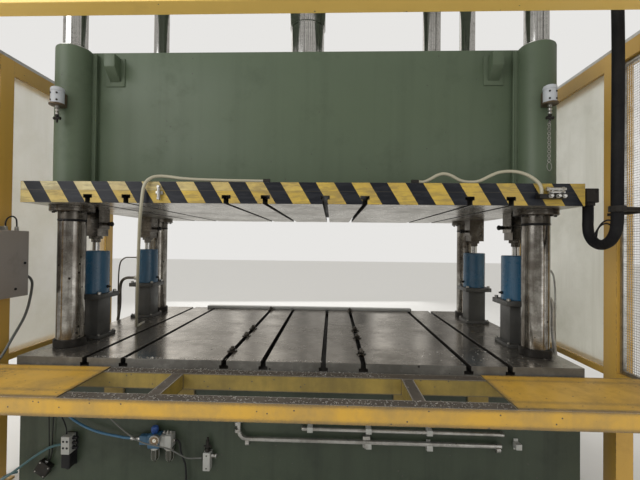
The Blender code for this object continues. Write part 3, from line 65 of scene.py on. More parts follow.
Point = tuple[float, float, float]
Profile = Sequence[tuple[float, float]]
Socket = bpy.types.NodeSocket
Node = bpy.types.Node
Tree = bpy.types.NodeTree
Object = bpy.types.Object
GAP = 0.0003
UP, DOWN, FRONT, LEFT, RIGHT = (0, 0, 1), (0, 0, -1), (0, -1, 0), (-1, 0, 0), (1, 0, 0)
CORNERS = (("front_left", -1, -1), ("front_right", 1, -1), ("rear_left", -1, 1), ("rear_right", 1, 1))
SIDES = (("left", -1), ("right", 1))
CROWN_LOW, CROWN_TOP, TABLE_TOP = 3.95, 4.6, 0.9


class Body(str, Enum):
    """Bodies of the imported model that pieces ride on."""

    ROOT = "root"
    RAM = "ram"
    DOOR = "control_box_door"
    KNOB = "regulator_knob"


# Node trees

class Graph:
    """One node tree with short ways to add and join its nodes."""

    def __init__(self, tree: Tree) -> None:
        """Keep the tree."""
        self.tree = tree

    def add(self, kind: str, values: Mapping | None = None, **settings: object) -> Node:
        """Add a node, link or set its inputs and set its properties.

        Args:
            kind: The node's type.
            values: Input name or number to a socket or a plain value.
            settings: Properties of the node.

        Returns:
            The new node.
        """
        node = self.tree.nodes.new(kind)
        for key, value in settings.items():
            setattr(node, key, value)
        for key, value in (values or {}).items():
            if isinstance(value, Socket):
                self.tree.links.new(value, node.inputs[key])
            else:
                node.inputs[key].default_value = value
        return node

    def math(self, operation: str, first: object, second: object = 0.0, clamp: bool = False) -> Socket:
        """Return the result of one sum."""
        return self.add("ShaderNodeMath", {0: first, 1: second}, operation=operation,
                        use_clamp=clamp).outputs[0]

    def plus(self, first: object, second: object, clamp: bool = False) -> Socket:
        """Return a sum."""
        return self.math("ADD", first, second, clamp)

    def minus(self, first: object, second: object) -> Socket:
        """Return a difference."""
        return self.math("SUBTRACT", first, second)

    def times(self, first: object, second: object) -> Socket:
        """Return a product."""
        return self.math("MULTIPLY", first, second)

    def remap(self, value: object, low: float, high: float, start: float = 0.0, end: float = 1.0) -> Socket:
        """Return a value carried smoothly from one range to another."""
        node = self.add(
            "ShaderNodeMapRange",
            {"Value": value, "From Min": low, "From Max": high, "To Min": start, "To Max": end})
        return node.outputs[0]

    def mix(self, factor: object, first: object, second: object, blend: str = "MIX") -> Socket:
        """Return two colours mixed by a factor."""
        values = {0: factor}
        for key, value in ((6, first), (7, second)):
            values[key] = value if isinstance(value, Socket) else (*value, 1.0)
        return self.add("ShaderNodeMix", values, data_type="RGBA", blend_type=blend).outputs[2]

    def noise(self, vector: object, scale: object, detail: float = 4.0, rough: float = 0.55) -> Socket:
        """Return fractal noise on a vector."""
        node = self.add(
            "ShaderNodeTexNoise", {"Vector": vector, "Scale": scale, "Detail": detail, "Roughness": rough})
        return node.outputs["Fac"]

    def stretch(self, vector: object, scale: Point, turn: Point = (0, 0, 0),
                shift: Point = (0, 0, 0)) -> Socket:
        """Return a vector scaled, turned and shifted."""
        node = self.add(
            "ShaderNodeMapping", {"Vector": vector, "Location": shift, "Rotation": turn, "Scale": scale})
        return node.outputs[0]

    def mask(self, effect: Effect, vector: object, scale: float, amount: float, size: float) -> Socket:
        """Return the mask of a shared effect."""
        values = {"Vector": vector, "Scale": scale, "Amount": amount, "Size": size}
        return self.add("ShaderNodeGroup", values, node_tree=effect.tree()).outputs[0]


class Effect(Enum):
    """Shared surface effects, each one node group with a mask as its output."""

    PATCHES = "Patches"
    EDGE_WEAR = "Edge wear"
    STREAKS = "Streaks"
    SPECKS = "Specks"

    def tree(self) -> Tree:
        """Return the effect's node group, made the first time it is asked for."""
        found = bpy.data.node_groups.get(self.value)
        return found if found is not None else self._build()

    def _build(self) -> Tree:
        """Make the node group with its named sockets."""
        tree = bpy.data.node_groups.new(self.value, "ShaderNodeTree")
        tree.interface.new_socket("Mask", in_out="OUTPUT", socket_type="NodeSocketFloat")
        tree.interface.new_socket("Vector", in_out="INPUT", socket_type="NodeSocketVector")
        for name in ("Scale", "Amount", "Size"):
            tree.interface.new_socket(name, in_out="INPUT", socket_type="NodeSocketFloat")
        graph = Graph(tree)
        given = graph.add("NodeGroupInput").outputs
        makers = {Effect.PATCHES: self._patches, Effect.EDGE_WEAR: self._edge_wear,
                  Effect.STREAKS: self._streaks, Effect.SPECKS: self._specks}
        mask = makers[self](graph, given)
        graph.add("NodeGroupOutput", {0: mask})
        return tree

    @staticmethod
    def _patches(graph: Graph, given: Mapping) -> Socket:
        """Soft cloudy patches with a finer break-up. Size is the softness of their rim."""
        broad = graph.noise(given["Vector"], given["Scale"], 3.0)
        fine = graph.noise(given["Vector"], graph.times(given["Scale"], 7.0), 5.0, 0.7)
        both = graph.plus(graph.times(broad, 0.7), graph.times(fine, 0.3))
        level = graph.minus(1.0, given["Amount"])
        above = graph.minus(both, graph.times(level, 0.65))
        return graph.math("DIVIDE", above, given["Size"], clamp=True)

    @staticmethod
    def _edge_wear(graph: Graph, given: Mapping) -> Socket:
        """Chips along edges. Size is how far from an edge they reach."""
        rounded = graph.add("ShaderNodeBevel", {"Radius": given["Size"]}, samples=4).outputs["Normal"]
        flat = graph.add("ShaderNodeNewGeometry").outputs["Normal"]
        facing = graph.add("ShaderNodeVectorMath", {0: rounded, 1: flat}, operation="DOT_PRODUCT")
        edge = graph.remap(facing.outputs["Value"], 0.995, 0.9)
        chips = graph.noise(given["Vector"], given["Scale"], 6.0, 0.7)
        both = graph.plus(graph.times(edge, given["Amount"]), graph.times(chips, 0.8))
        return graph.remap(both, 0.62, 0.68)

    @staticmethod
    def _streaks(graph: Graph, given: Mapping) -> Socket:
        """Upright runs and drips. Size is how much longer than wide they are."""
        parts = graph.add("ShaderNodeSeparateXYZ", {0: given["Vector"]}).outputs
        low = graph.math("DIVIDE", parts["Z"], given["Size"])
        vector = graph.add("ShaderNodeCombineXYZ", {0: parts["X"], 1: parts["Y"], 2: low}).outputs[0]
        runs = graph.noise(vector, given["Scale"], 5.0, 0.65)
        return graph.times(graph.remap(runs, 0.48, 0.72), given["Amount"])

    @staticmethod
    def _specks(graph: Graph, given: Mapping) -> Socket:
        """Small scattered spots. Amount is the share of places that have one, Size their radius."""
        cells = graph.add("ShaderNodeTexVoronoi", {"Vector": given["Vector"], "Scale": given["Scale"]})
        near = graph.math("LESS_THAN", cells.outputs["Distance"], given["Size"])
        chance = graph.add("ShaderNodeSeparateXYZ", {0: cells.outputs["Color"]}).outputs[0]
        return graph.times(near, graph.math("LESS_THAN", chance, given["Amount"]))


# Finishes

PAINT_DARK = 0.72
METAL_DARK = 0.7
SPOT_DARK = 0.3
YELLOW_RUBBED = (0.255, 0.175, 0.07)
YELLOW_SCRATCHED = (0.1, 0.09, 0.06)
BLACK_SCRATCHED = (0.06, 0.062, 0.07)


def shaded(color: Color, share: float) -> Color:
    """Return a colour with each of its parts times a share."""
    return tuple(share * part for part in color)


@dataclass(frozen=True)
class Finish:
    """A named finish with the shader's plain values."""

    name: str
    color: Color
    roughness: float = 0.45
    metallic: float = 0.0
    specular: float = 0.5

    def material(self) -> bpy.types.Material:
        """Return the finish's material, built the first time it is asked for."""
        found = bpy.data.materials.get(self.name)
        if found is not None:
            return found
        material = bpy.data.materials.new(self.name)
        material.use_nodes = True
        graph = Graph(material.node_tree)
        shader = material.node_tree.nodes["Principled BSDF"]
        shader.inputs["Metallic"].default_value = self.metallic
        shader.inputs["Specular IOR Level"].default_value = self.specular
        place = graph.add("ShaderNodeTexCoord").outputs["Object"]
        self.dress(graph, shader, place)
        return material

    def dress(self, graph: Graph, shader: Node, place: Socket) -> None:
        """Feed the shader. A plain finish varies a little in colour and gloss."""
        patch = graph.noise(place, 6.0, 5.0)
        self.feed(graph, shader, graph.mix(patch, shaded(self.color, PAINT_DARK), self.color),
                  graph.remap(patch, 0.3, 0.7, self.roughness + 0.08, self.roughness - 0.06),
                  graph.noise(place, 400.0, 3.0), 0.0002)

    @staticmethod
    def feed(graph: Graph, shader: Node, color: object, roughness: object,
             height: object, depth: float) -> None:
        """Link colour, roughness and a bump of that depth to the shader."""
        graph.tree.links.new(color, shader.inputs["Base Color"])
        graph.tree.links.new(roughness, shader.inputs["Roughness"])
        bump = graph.add("ShaderNodeBump", {"Height": height, "Strength": 1.0, "Distance": depth})
        graph.tree.links.new(bump.outputs[0], shader.inputs["Normal"])


@dataclass(frozen=True)
class Paint(Finish):
    """Paint on steel with shade, dirt, runs and chipped edges."""

    shade: Color = (0.05, 0.05, 0.05)
    under: Color = (0.055, 0.05, 0.045)
    wear: float = 0.35
    reach: float = 0.006
    dirt: float = 0.35
    runs: float = 0.25
    chips: float = 0.05
    cloud: float = 0.5
    grain: float = 0.0004

    def dress(self, graph: Graph, shader: Node, place: Socket) -> None:
        """Lay shade, runs, specks and worn edges over the paint."""
        cloud = graph.mask(Effect.PATCHES, place, 0.8, 0.45, 0.4)
        dirt = graph.mask(Effect.PATCHES, place, 4.0, self.dirt, 0.25)
        runs = graph.mask(Effect.STREAKS, place, 11.0, self.runs, 26.0)
        specks = graph.mask(Effect.SPECKS, place, 42.0, self.chips, 0.16)
        worn = graph.mask(Effect.EDGE_WEAR, place, 55.0, self.wear, self.reach)
        tone = graph.mix(graph.times(cloud, self.cloud), self.color, shaded(self.color, PAINT_DARK))
        tone = graph.mix(graph.times(dirt, 0.5), tone, self.shade)
        tone = graph.mix(runs, tone, self.shade)
        bare = graph.math("MAXIMUM", specks, worn)
        color = graph.mix(bare, tone, self.under)
        gloss = graph.remap(graph.plus(dirt, runs), 0.0, 1.0, self.roughness, self.roughness + 0.25)
        grain = graph.noise(place, 130.0, 3.0, 0.6)
        height = graph.minus(grain, graph.times(bare, 2.0))
        self.feed(graph, shader, color, gloss, height, self.grain)


@dataclass(frozen=True)
class Steel(Finish):
    """Bare steel with machining marks along one direction, stains and spots."""

    metallic: float = 0.9
    stain: Color = (0.05, 0.04, 0.03)
    marks: Point = (220.0, 4.0, 4.0)
    stains: float = 0.3
    spots: float = 0.0
    runs: float = 0.0
    polish: float = 0.12
    film: float = 0.6

    def dress(self, graph: Graph, shader: Node, place: Socket) -> None:
        """Lay machining marks, stains, runs and spots over the metal."""
        lines = graph.noise(graph.stretch(place, self.marks), 1.0, 6.0, 0.7)
        stained = graph.mask(Effect.PATCHES, place, 2.6, self.stains, 0.24)
        fine = graph.mask(Effect.PATCHES, place, 16.0, self.stains, 0.12)
        runs = graph.mask(Effect.STREAKS, place, 26.0, self.runs, 20.0)
        spots = graph.mask(Effect.SPECKS, place, 30.0, self.spots, 0.22)
        tone = graph.mix(graph.remap(lines, 0.25, 0.75), shaded(self.color, METAL_DARK), self.color)
        tone = graph.mix(graph.times(stained, self.film), tone, self.stain)
        tone = graph.mix(graph.times(fine, 0.6 * self.film), tone, self.stain)
        tone = graph.mix(runs, tone, self.stain)
        color = graph.mix(spots, tone, shaded(self.stain, SPOT_DARK))
        rough = graph.plus(graph.remap(lines, 0.2, 0.8, self.roughness, self.roughness + self.polish),
                           graph.times(graph.math("MAXIMUM", stained, runs), 0.18))
        self.feed(graph, shader, color, rough, graph.plus(lines, spots), 0.0001)


@dataclass(frozen=True)
class Hazard(Paint):
    """Yellow paint with slanting dark stripes across one face, paler and more worn towards the left."""

    pale: Color = (0.54, 0.49, 0.3)
    stripe: Color = (0.007, 0.0085, 0.013)
    pitch: float = 0.2002
    lean: float = 0.6
    first: float = -1.5845
    top: float = 1.913
    seam: float = 1.862

    def dress(self, graph: Graph, shader: Node, place: Socket) -> None:
        """Lay worn stripes over yellow that fades to a paler tone on the upper left."""
        parts = graph.add("ShaderNodeSeparateXYZ", {0: place}).outputs
        wobble = graph.times(graph.minus(graph.noise(place, 45.0, 3.0), 0.5), 0.004)
        along = graph.plus(parts["X"], graph.times(parts["Z"], self.lean))
        along = graph.plus(graph.minus(along, self.first + self.lean * self.top), wobble)
        striped = graph.math("LESS_THAN", graph.math("FRACT", graph.math("DIVIDE", along, self.pitch)), 0.49)
        lower = graph.math("LESS_THAN", parts["Z"], self.seam)
        fade = graph.plus(graph.remap(parts["X"], -1.6, 0.2), graph.times(lower, 0.6), clamp=True)
        yellow = graph.mix(fade, self.pale, self.color)
        rubbed = graph.mask(Effect.PATCHES, place, 7.0, 0.4, 0.25)
        yellow = graph.mix(graph.times(rubbed, 0.55), yellow, YELLOW_RUBBED)
        scratches = graph.mask(
            Effect.PATCHES, graph.stretch(place, (9.0, 9.0, 60.0), (0, 0.5, 0)), 1.0, 0.22, 0.05)
        yellow = graph.mix(graph.times(scratches, 0.35), yellow, YELLOW_SCRATCHED)
        black = graph.mix(graph.times(scratches, 0.14), self.stripe, BLACK_SCRATCHED)
        line = graph.math("LESS_THAN", graph.math("ABSOLUTE", graph.minus(parts["Z"], self.seam)), 0.0009)
        worn = graph.mask(Effect.EDGE_WEAR, place, 60.0, self.wear, self.reach)
        tone = graph.mix(striped, yellow, black)
        tone = graph.mix(graph.times(line, 0.5), tone, YELLOW_SCRATCHED)
        color = graph.mix(worn, tone, self.under)
        gloss = graph.remap(striped, 0.0, 1.0, self.roughness + 0.12, self.roughness)
        height = graph.plus(graph.times(striped, 0.6), graph.noise(place, 90.0, 3.0))
        self.feed(graph, shader, color, gloss, height, 0.0002)


@dataclass(frozen=True)
class Glazing(Finish):
    """Hazy plastic sheet that lets blurred light through, with dust and dried runs."""

    clear: float = 0.6
    dust: Color = (0.42, 0.41, 0.34)

    def dress(self, graph: Graph, shader: Node, place: Socket) -> None:
        """Lay cloudy dust and upright runs over the sheet."""
        shader.inputs["Transmission Weight"].default_value = self.clear
        shader.inputs["IOR"].default_value = 1.2
        runs = graph.mask(Effect.STREAKS, place, 9.0, 0.5, 18.0)
        dust = graph.mask(Effect.PATCHES, place, 2.2, 0.36, 0.35)
        film = graph.math("MAXIMUM", graph.times(dust, 0.8), runs)
        self.feed(graph, shader, graph.mix(film, self.color, self.dust),
                  graph.remap(film, 0.0, 1.0, self.roughness, self.roughness + 0.25),
                  graph.noise(graph.stretch(place, (3.0, 3.0, 0.6)), 2.0, 3.0), 0.004)


@dataclass(frozen=True)
class Sleeving(Finish):
    """Woven black sleeving drawn over a bundle, with folds along it."""

    def dress(self, graph: Graph, shader: Node, place: Socket) -> None:
        """Lay a fine weave over broad soft folds."""
        folds = graph.noise(graph.stretch(place, (38.0, 38.0, 5.0)), 1.0, 3.0)
        weave = graph.add("ShaderNodeTexVoronoi", {"Vector": place, "Scale": 420.0}).outputs["Distance"]
        dust = graph.mask(Effect.PATCHES, place, 7.0, 0.34, 0.2)
        color = graph.mix(graph.times(dust, 0.4), self.color, (0.02, 0.019, 0.017))
        height = graph.plus(graph.times(folds, 8.0), weave)
        self.feed(graph, shader, color, graph.remap(folds, 0.3, 0.7, self.roughness, self.roughness + 0.2),
                  height, 0.0006)


GREEN = Paint("Green machine paint", (0.088, 0.118, 0.074), 0.46, specular=0.35, shade=(0.04, 0.052, 0.032),
              wear=0.14, dirt=0.16, runs=0.2, chips=0.02, grain=0.0002)
# Partly oil and partly painted shade: the bed's green is the machine green at under half its brightness,
# darkened for the shade that the bed lies in below the table.
OILY_SHADED_BED_GREEN = Paint(
    "Green bed paint, oily, with painted shade", (0.04, 0.054, 0.034), 0.36, specular=0.4, shade=(0.013, 0.018, 0.012), wear=0.22,
    dirt=0.28, runs=0.45, chips=0.06, cloud=0.9, grain=0.0003)
YELLOW = Paint(
    "Yellow guard paint", (0.56, 0.335, 0.06), 0.42, shade=(0.24, 0.13, 0.03), wear=0.26, dirt=0.12, runs=0.1,
    chips=0.02, cloud=0.25)
# Painted light: the lintel's yellow is made brighter than the guard's yellow to stand in for light bounced up
# from the floor onto its underside.
LIT_LINTEL_YELLOW = Paint(
    "Yellow lintel paint, brightened as painted bounce light", (0.93, 0.64, 0.175), 0.45, shade=(0.6, 0.4, 0.13), wear=0.1, dirt=0.14,
    runs=0.0, chips=0.02, cloud=0.2)
WORN_YELLOW = Paint(
    "Yellow platform paint, chipped", (0.58, 0.335, 0.04), 0.42, shade=(0.18, 0.15, 0.09), wear=0.56,
    reach=0.034, dirt=0.34, runs=0.2, chips=0.2, cloud=0.4)
# Partly dirt and partly painted shade: faces inside and behind the front beam are darkened to an olive yellow
# for the shade that they lie in.
SHADED_DIRTY_YELLOW = Paint(
    "Yellow platform paint, olive with dirt and painted shade", (0.3, 0.21, 0.036), 0.42, shade=(0.07, 0.055, 0.02), wear=0.6,
    reach=0.012, dirt=0.42, runs=0.35, chips=0.2, cloud=0.7)
TRODDEN = Paint(
    "Trodden platform top", (0.12, 0.1, 0.078), 0.42, shade=(0.035, 0.028, 0.022), wear=0.5, reach=0.012,
    dirt=0.5, runs=0.0, chips=0.45, cloud=0.8, under=(0.36, 0.33, 0.28))
HAZARD = Hazard("Hazard striping", (0.5, 0.35, 0.06), 0.4, specular=0.25, wear=0.4, reach=0.004)
BLUE = Paint("Blue damper paint", (0.028, 0.098, 0.175), 0.26, shade=(0.012, 0.03, 0.05), wear=0.2,
             dirt=0.2, runs=0.3, chips=0.03, cloud=0.6, grain=0.0002)
STAND_GREY = Paint(
    "Dark grey stand paint", (0.06, 0.06, 0.056), 0.38, shade=(0.018, 0.017, 0.015), dirt=0.32, runs=0.4,
    chips=0.06, cloud=0.6)
BOX_GREY = Paint(
    "Grey box paint", (0.275, 0.246, 0.218), 0.42, shade=(0.1, 0.09, 0.08), wear=0.1, dirt=0.14, runs=0.1,
    chips=0.0, cloud=0.35, grain=0.0002)
CREAM = Glazing("Cream panel sheet", (0.93, 0.91, 0.85), 0.4, clear=0.72, dust=(0.7, 0.67, 0.56))
HAZY = Glazing("Hazy plastic panel", (0.9, 0.89, 0.81), 0.3, clear=0.8, dust=(0.52, 0.51, 0.42))
TABLE_STEEL = Steel(
    "Machined table steel", (0.46, 0.43, 0.385), 0.12, stain=(0.14, 0.122, 0.1), marks=(2.0, 120.0, 90.0),
    stains=0.34, spots=0.02, film=0.5)
EDGE_STEEL = Steel(
    "Table edge steel, swarf ground in", (0.3, 0.29, 0.265), 0.34, metallic=0.55, stain=(0.06, 0.056, 0.045),
    marks=(14.0, 40.0, 160.0), stains=0.44, spots=0.1, polish=0.2)
# Partly oil and partly painted shade: the insides of the T-slots are painted near black for the shade deep in
# them.
SLOT_OIL_AND_SHADE = Steel(
    "Oily slot wall, painted shade", (0.03, 0.026, 0.022), 0.42, metallic=0.3, stain=(0.01, 0.008, 0.006),
    marks=(6.0, 2.0, 60.0), stains=0.4)
PLATE_STEEL = Steel(
    "Ram plate underside steel", (0.58, 0.555, 0.505), 0.2, stain=(0.12, 0.1, 0.075),
    marks=(120.0, 2.0, 120.0), stains=0.32, polish=0.1)
CHROME = Steel(
    "Hard chrome", (0.62, 0.62, 0.61), 0.07, metallic=1.0, stain=(0.16, 0.14, 0.11), marks=(3.0, 3.0, 260.0),
    stains=0.16, polish=0.05)
SLEEVE_STEEL = Steel(
    "Ground sleeve steel, oily", (0.455, 0.438, 0.402), 0.09, metallic=1.0, stain=(0.06, 0.046, 0.034),
    marks=(5.0, 5.0, 320.0), stains=0.34, spots=0.12, runs=0.7, polish=0.06, film=0.8)
BUSH_STEEL = Steel(
    "Bush steel", (0.27, 0.255, 0.23), 0.16, metallic=1.0, stain=(0.04, 0.032, 0.024),
    marks=(4.0, 4.0, 300.0), stains=0.4, polish=0.1, film=0.8)
DARK_STEEL = Steel(
    "Blackened oily steel", (0.05, 0.047, 0.043), 0.32, metallic=0.7, stain=(0.012, 0.01, 0.008),
    marks=(60.0, 60.0, 60.0), stains=0.42)
ZINC = Steel("Zinc plated steel", (0.56, 0.555, 0.53), 0.24, stain=(0.12, 0.11, 0.09),
             marks=(40.0, 40.0, 40.0), stains=0.26)
ALUMINIUM = Steel(
    "Drawn aluminium", (0.56, 0.56, 0.55), 0.28, stain=(0.25, 0.24, 0.22), marks=(60.0, 4.0, 60.0),
    stains=0.22, polish=0.1)
# Partly the bar's own pale grey and partly painted reflection: a nearly matte pale finish instead of bright
# metal, so the bar stays bright though its face is in shade.
PALE_BAR_WITH_REFLECTION = Finish("Ground stop bar, pale with painted reflection", (0.48, 0.48, 0.455), 0.4, 0.2)
CASTING = Finish("Light cast valve block", (0.42, 0.425, 0.4), 0.45, 0.35)
BRONZE = Finish("Brown bronze base", (0.13, 0.095, 0.06), 0.4, 0.55)
WHITE = Finish("Grey-white plastic", (0.52, 0.545, 0.58), 0.42)
RUBBER = Finish("Black rubber", (0.01, 0.01, 0.011), 0.5, specular=0.25)
SLEEVING = Sleeving("Black woven sleeving", (0.006, 0.006, 0.007), 0.6, specular=0.2)
CREAM_HOSE = Finish("Cream hose plastic", (0.4, 0.375, 0.275), 0.42)
GREY_CABLE = Finish("Grey cable sheath", (0.12, 0.125, 0.115), 0.45)
TEAL_HOSE = Finish("Teal air line plastic", (0.045, 0.11, 0.12), 0.35)
BLUE_HOSE = Finish("Blue air line plastic", (0.035, 0.13, 0.23), 0.3)
KNOB_BLUE = Finish("Blue knob plastic", (0.02, 0.07, 0.26), 0.35)
DIAL = Finish("Gauge face, brown behind oil", (0.2, 0.13, 0.07), 0.08)
DIAL_LIGHT = Finish("Gauge centre", (0.8, 0.76, 0.66), 0.2)
BOWL = Finish("Smoked filter bowl", (0.04, 0.042, 0.03), 0.1)
SWARF = Steel("Bright swarf", (0.85, 0.83, 0.79), 0.22, metallic=0.85, stain=(0.3, 0.28, 0.25), stains=0.2)

SLOT_FINISHES: dict[str, Finish] = {
    "green paint": GREEN, "bed paint": OILY_SHADED_BED_GREEN, "yellow paint": YELLOW, "hazard paint": HAZARD,
    "machined steel": TABLE_STEEL, "bright steel": SLEEVE_STEEL, "chrome": CHROME, "dark steel": DARK_STEEL,
    "blue paint": BLUE, "white plastic": WHITE, "cream panel": CREAM, "clear panel": HAZY,
    "grey paint": BOX_GREY, "zinc": ZINC, "black rubber": RUBBER, "cream hose": CREAM_HOSE,
}
USUAL_SLOTS = {finish: slot for slot, finish in SLOT_FINISHES.items()}


# Mesh making

PIECE_SMOOTH = math.radians(35)
NODE_SMOOTH = math.radians(30)
BEVEL_FROM = math.radians(40)
FLAT_WITHIN = math.radians(0.6)
MERGE_WITHIN = 1e-5
POLE_WITHIN = 1e-7


def aimed(place: Point, aim: Point) -> Matrix:
    """Return the matrix that carries the upright axis to a place and turns it to an aim."""
    return Matrix.Translation(place) @ Vector(aim).to_track_quat("Z", "Y").to_matrix().to_4x4()


class Shape:
    """A mesh under way, made with bmesh operators in the model's own frame."""

    def __init__(self) -> None:
        """Start empty."""
        self.mesh = bmesh.new()

    def box(self, low: Point, high: Point, edge: float = 0.0, turn: Matrix | None = None,
            segments: int = 2) -> Shape:
        """Add a block between two corners.

        Args:
            low: Lowest corner.
            high: Highest corner.
            edge: Width of its rounded edges.
            turn: A turn about the block's own centre.
            segments: Steps across each rounded edge.

        Returns:
            The shape itself.
        """
        centre = (Vector(low) + Vector(high)) / 2
        matrix = Matrix.Translation(centre)
        if turn is not None:
            matrix = matrix @ turn.to_4x4()
        matrix = matrix @ Matrix.Diagonal((*(Vector(high) - Vector(low)), 1.0))
        made = bmesh.ops.create_cube(self.mesh, size=1.0, matrix=matrix)
        self.soften(made["verts"], edge, segments)
        return self

    def soften(self, verts: Iterable[bmesh.types.BMVert], edge: float, segments: int = 2) -> None:
        """Round the edges that meet some vertices, where a width is given."""
        if edge > 0:
            edges = list({line for vert in verts for line in vert.link_edges})
            bmesh.ops.bevel(self.mesh, geom=edges, offset=edge, segments=segments, affect="EDGES",
                            profile=0.5, material=-1)

    def spin(self, geom: list, steps: int) -> None:
        """Turn a line once round the upright axis."""
        bmesh.ops.spin(self.mesh, geom=geom, cent=(0, 0, 0), axis=UP, angle=math.tau, steps=steps,
                       use_merge=True, dvec=(0, 0, 0))

    def turned(self, profile: Profile, place: Point = (0, 0, 0), aim: Point = UP, steps: int = 64) -> Shape:
        """Spin a profile of radius and height about an axis.

        Args:
            profile: Pairs of radius and height. One that starts off the axis is closed to a ring.
            place: Where the axis starts.
            aim: Direction of the axis.
            steps: Faces around.

        Returns:
            The shape itself.
        """
        verts = [self.mesh.verts.new((radius, 0, height)) for radius, height in profile]
        edges = [self.mesh.edges.new(pair) for pair in zip(verts, verts[1:])]
        if profile[0][0] > 0 and profile[-1][0] > 0:
            edges.append(self.mesh.edges.new((verts[-1], verts[0])))
        before = set(self.mesh.faces)
        self.spin(verts + edges, steps)
        faces = [face for face in self.mesh.faces if face not in before]
        points = list({vert for face in faces for vert in face.verts})
        poles = [vert for vert in points if math.hypot(vert.co.x, vert.co.y) < POLE_WITHIN]
        bmesh.ops.remove_doubles(self.mesh, verts=poles, dist=10 * POLE_WITHIN)
        faces = [face for face in self.mesh.faces if face not in before]
        points = list({vert for face in faces for vert in face.verts})
        bmesh.ops.transform(self.mesh, matrix=aimed(place, aim), verts=points)
        bmesh.ops.recalc_face_normals(self.mesh, faces=faces)
        return self

    def bar(self, start: Point, end: Point, radius: float, steps: int = 24, edge: float = 0.0) -> Shape:
        """Add a round bar between two points, its ends broken by a small chamfer."""
        length = (Vector(end) - Vector(start)).length
        side = [(radius, 0), (radius, length)]
        if edge > 0:
            side = [(radius - edge, 0), (radius, edge), (radius, length - edge), (radius - edge, length)]
        return self.turned([(0, 0), *side, (0, length)], start, tuple(Vector(end) - Vector(start)), steps)

    def screw(self, place: Point, aim: Point, radius: float, height: float) -> Shape:
        """Add a socket cap screw head that stands on a face."""
        deep = height * 0.45
        profile = [(0, deep), (radius * 0.48, deep), (radius * 0.48, height), (radius * 0.88, height),
                   (radius, height * 0.88), (radius, 0), (0, 0)]
        return self.turned(profile, place, aim, 18)

    def outline(self, points: Sequence[Point], along: Point, edge: float = 0.0) -> Shape:
        """Extrude a flat outline along a direction.

        Args:
            points: Corners of the outline.
            along: The extrusion.
            edge: Width of the rounded edges.

        Returns:
            The shape itself.
        """
        before = set(self.mesh.verts)
        verts = [self.mesh.verts.new(point) for point in points]
        face = self.mesh.faces.new(verts)
        made = bmesh.ops.extrude_face_region(self.mesh, geom=[face])
        moved = [item for item in made["geom"] if isinstance(item, bmesh.types.BMVert)]
        bmesh.ops.translate(self.mesh, vec=along, verts=moved)
        new = [vert for vert in self.mesh.verts if vert not in before]
        faces = list({item for vert in new for item in vert.link_faces})
        bmesh.ops.recalc_face_normals(self.mesh, faces=faces)
        self.soften(new, edge)
        return self

    def pipe(self, route: Sequence[Point], radius: float, sides: int = 12) -> Shape:
        """Add a round tube along the smooth curve through some points."""
        curve = round_curve("pipe", route, radius, sides // 4)
        holder = bpy.data.objects.new("pipe", curve)
        mesh = bpy.data.meshes.new_from_object(holder)
        self.mesh.from_mesh(mesh)
        bpy.data.objects.remove(holder)
        bpy.data.meshes.remove(mesh)
        return self

    def ring(self, place: Point, aim: Point, radius: float, wire: float, steps: int = 24,
             sides: int = 8) -> Shape:
        """Add a torus round an axis."""
        before = set(self.mesh.verts)
        bead = bmesh.ops.create_circle(
            self.mesh, segments=sides, radius=wire,
            matrix=Matrix.Translation((radius, 0, 0)) @ Matrix.Rotation(math.pi / 2, 4, "X"))
        edges = list({line for vert in bead["verts"] for line in vert.link_edges})
        self.spin(bead["verts"] + edges, steps)
        points = [vert for vert in self.mesh.verts if vert not in before]
        bmesh.ops.transform(self.mesh, matrix=aimed(place, aim), verts=points)
        bmesh.ops.recalc_face_normals(
            self.mesh, faces=list({face for vert in points for face in vert.link_faces}))
        return self

    def nut(self, place: Point, aim: Point, radius: float, height: float) -> Shape:
        """Add a hexagonal nut with broken corners."""
        lip = radius * 0.12
        return self.turned([(0, 0), (radius - lip, 0), (radius, lip), (radius, height - lip),
                            (radius - lip, height), (0, height)], place, aim, 6)

    def piece(self, name: str, finish: Finish, slot: str = "", body: Body | str = Body.ROOT,
              stands_for: Iterable[str] = ()) -> Object:
        """Write the shape out as one piece of the press.

        Args:
            name: The piece's name.
            finish: Its finish.
            slot: The record's material slot, or nothing for the usual slot of the finish.
            body: The body that it rides on.
            stands_for: Nodes that it replaces.

        Returns:
            The new object.
        """
        mesh = bpy.data.meshes.new(name)
        self.mesh.to_mesh(mesh)
        self.mesh.free()
        mesh.shade_smooth()
        mesh.set_sharp_from_angle(angle=PIECE_SMOOTH)
        mesh.materials.append(finish.material())
        return settle(link(name, mesh), slot or USUAL_SLOTS[finish], body, stands_for)

    def stand_in(self, node: str, suffix: str, finish: Finish, slot: str = "",
                 body: Body | str = Body.ROOT) -> Object:
        """Write the shape out as the piece that replaces a node and is named after it."""
        return self.piece(f"{node}_{suffix}", finish, slot, body, (node,))


def link(name: str, data: bpy.types.ID) -> Object:
    """Return a new object in the scene."""
    made = bpy.data.objects.new(name, data)
    bpy.context.scene.collection.objects.link(made)
    return made


def circle(count: int, radius: float, start: float = 0.0) -> Iterator[tuple[float, float]]:
    """Give points spaced evenly round a circle.

    Args:
        count: Number of points.
        radius: Radius of the circle.
        start: Share of a step that the first point is turned by.

    Yields:
        Pairs of places across and along.
    """
    for step in range(count):
        angle = math.tau * (step + start) / count
        yield radius * math.cos(angle), radius * math.sin(angle)


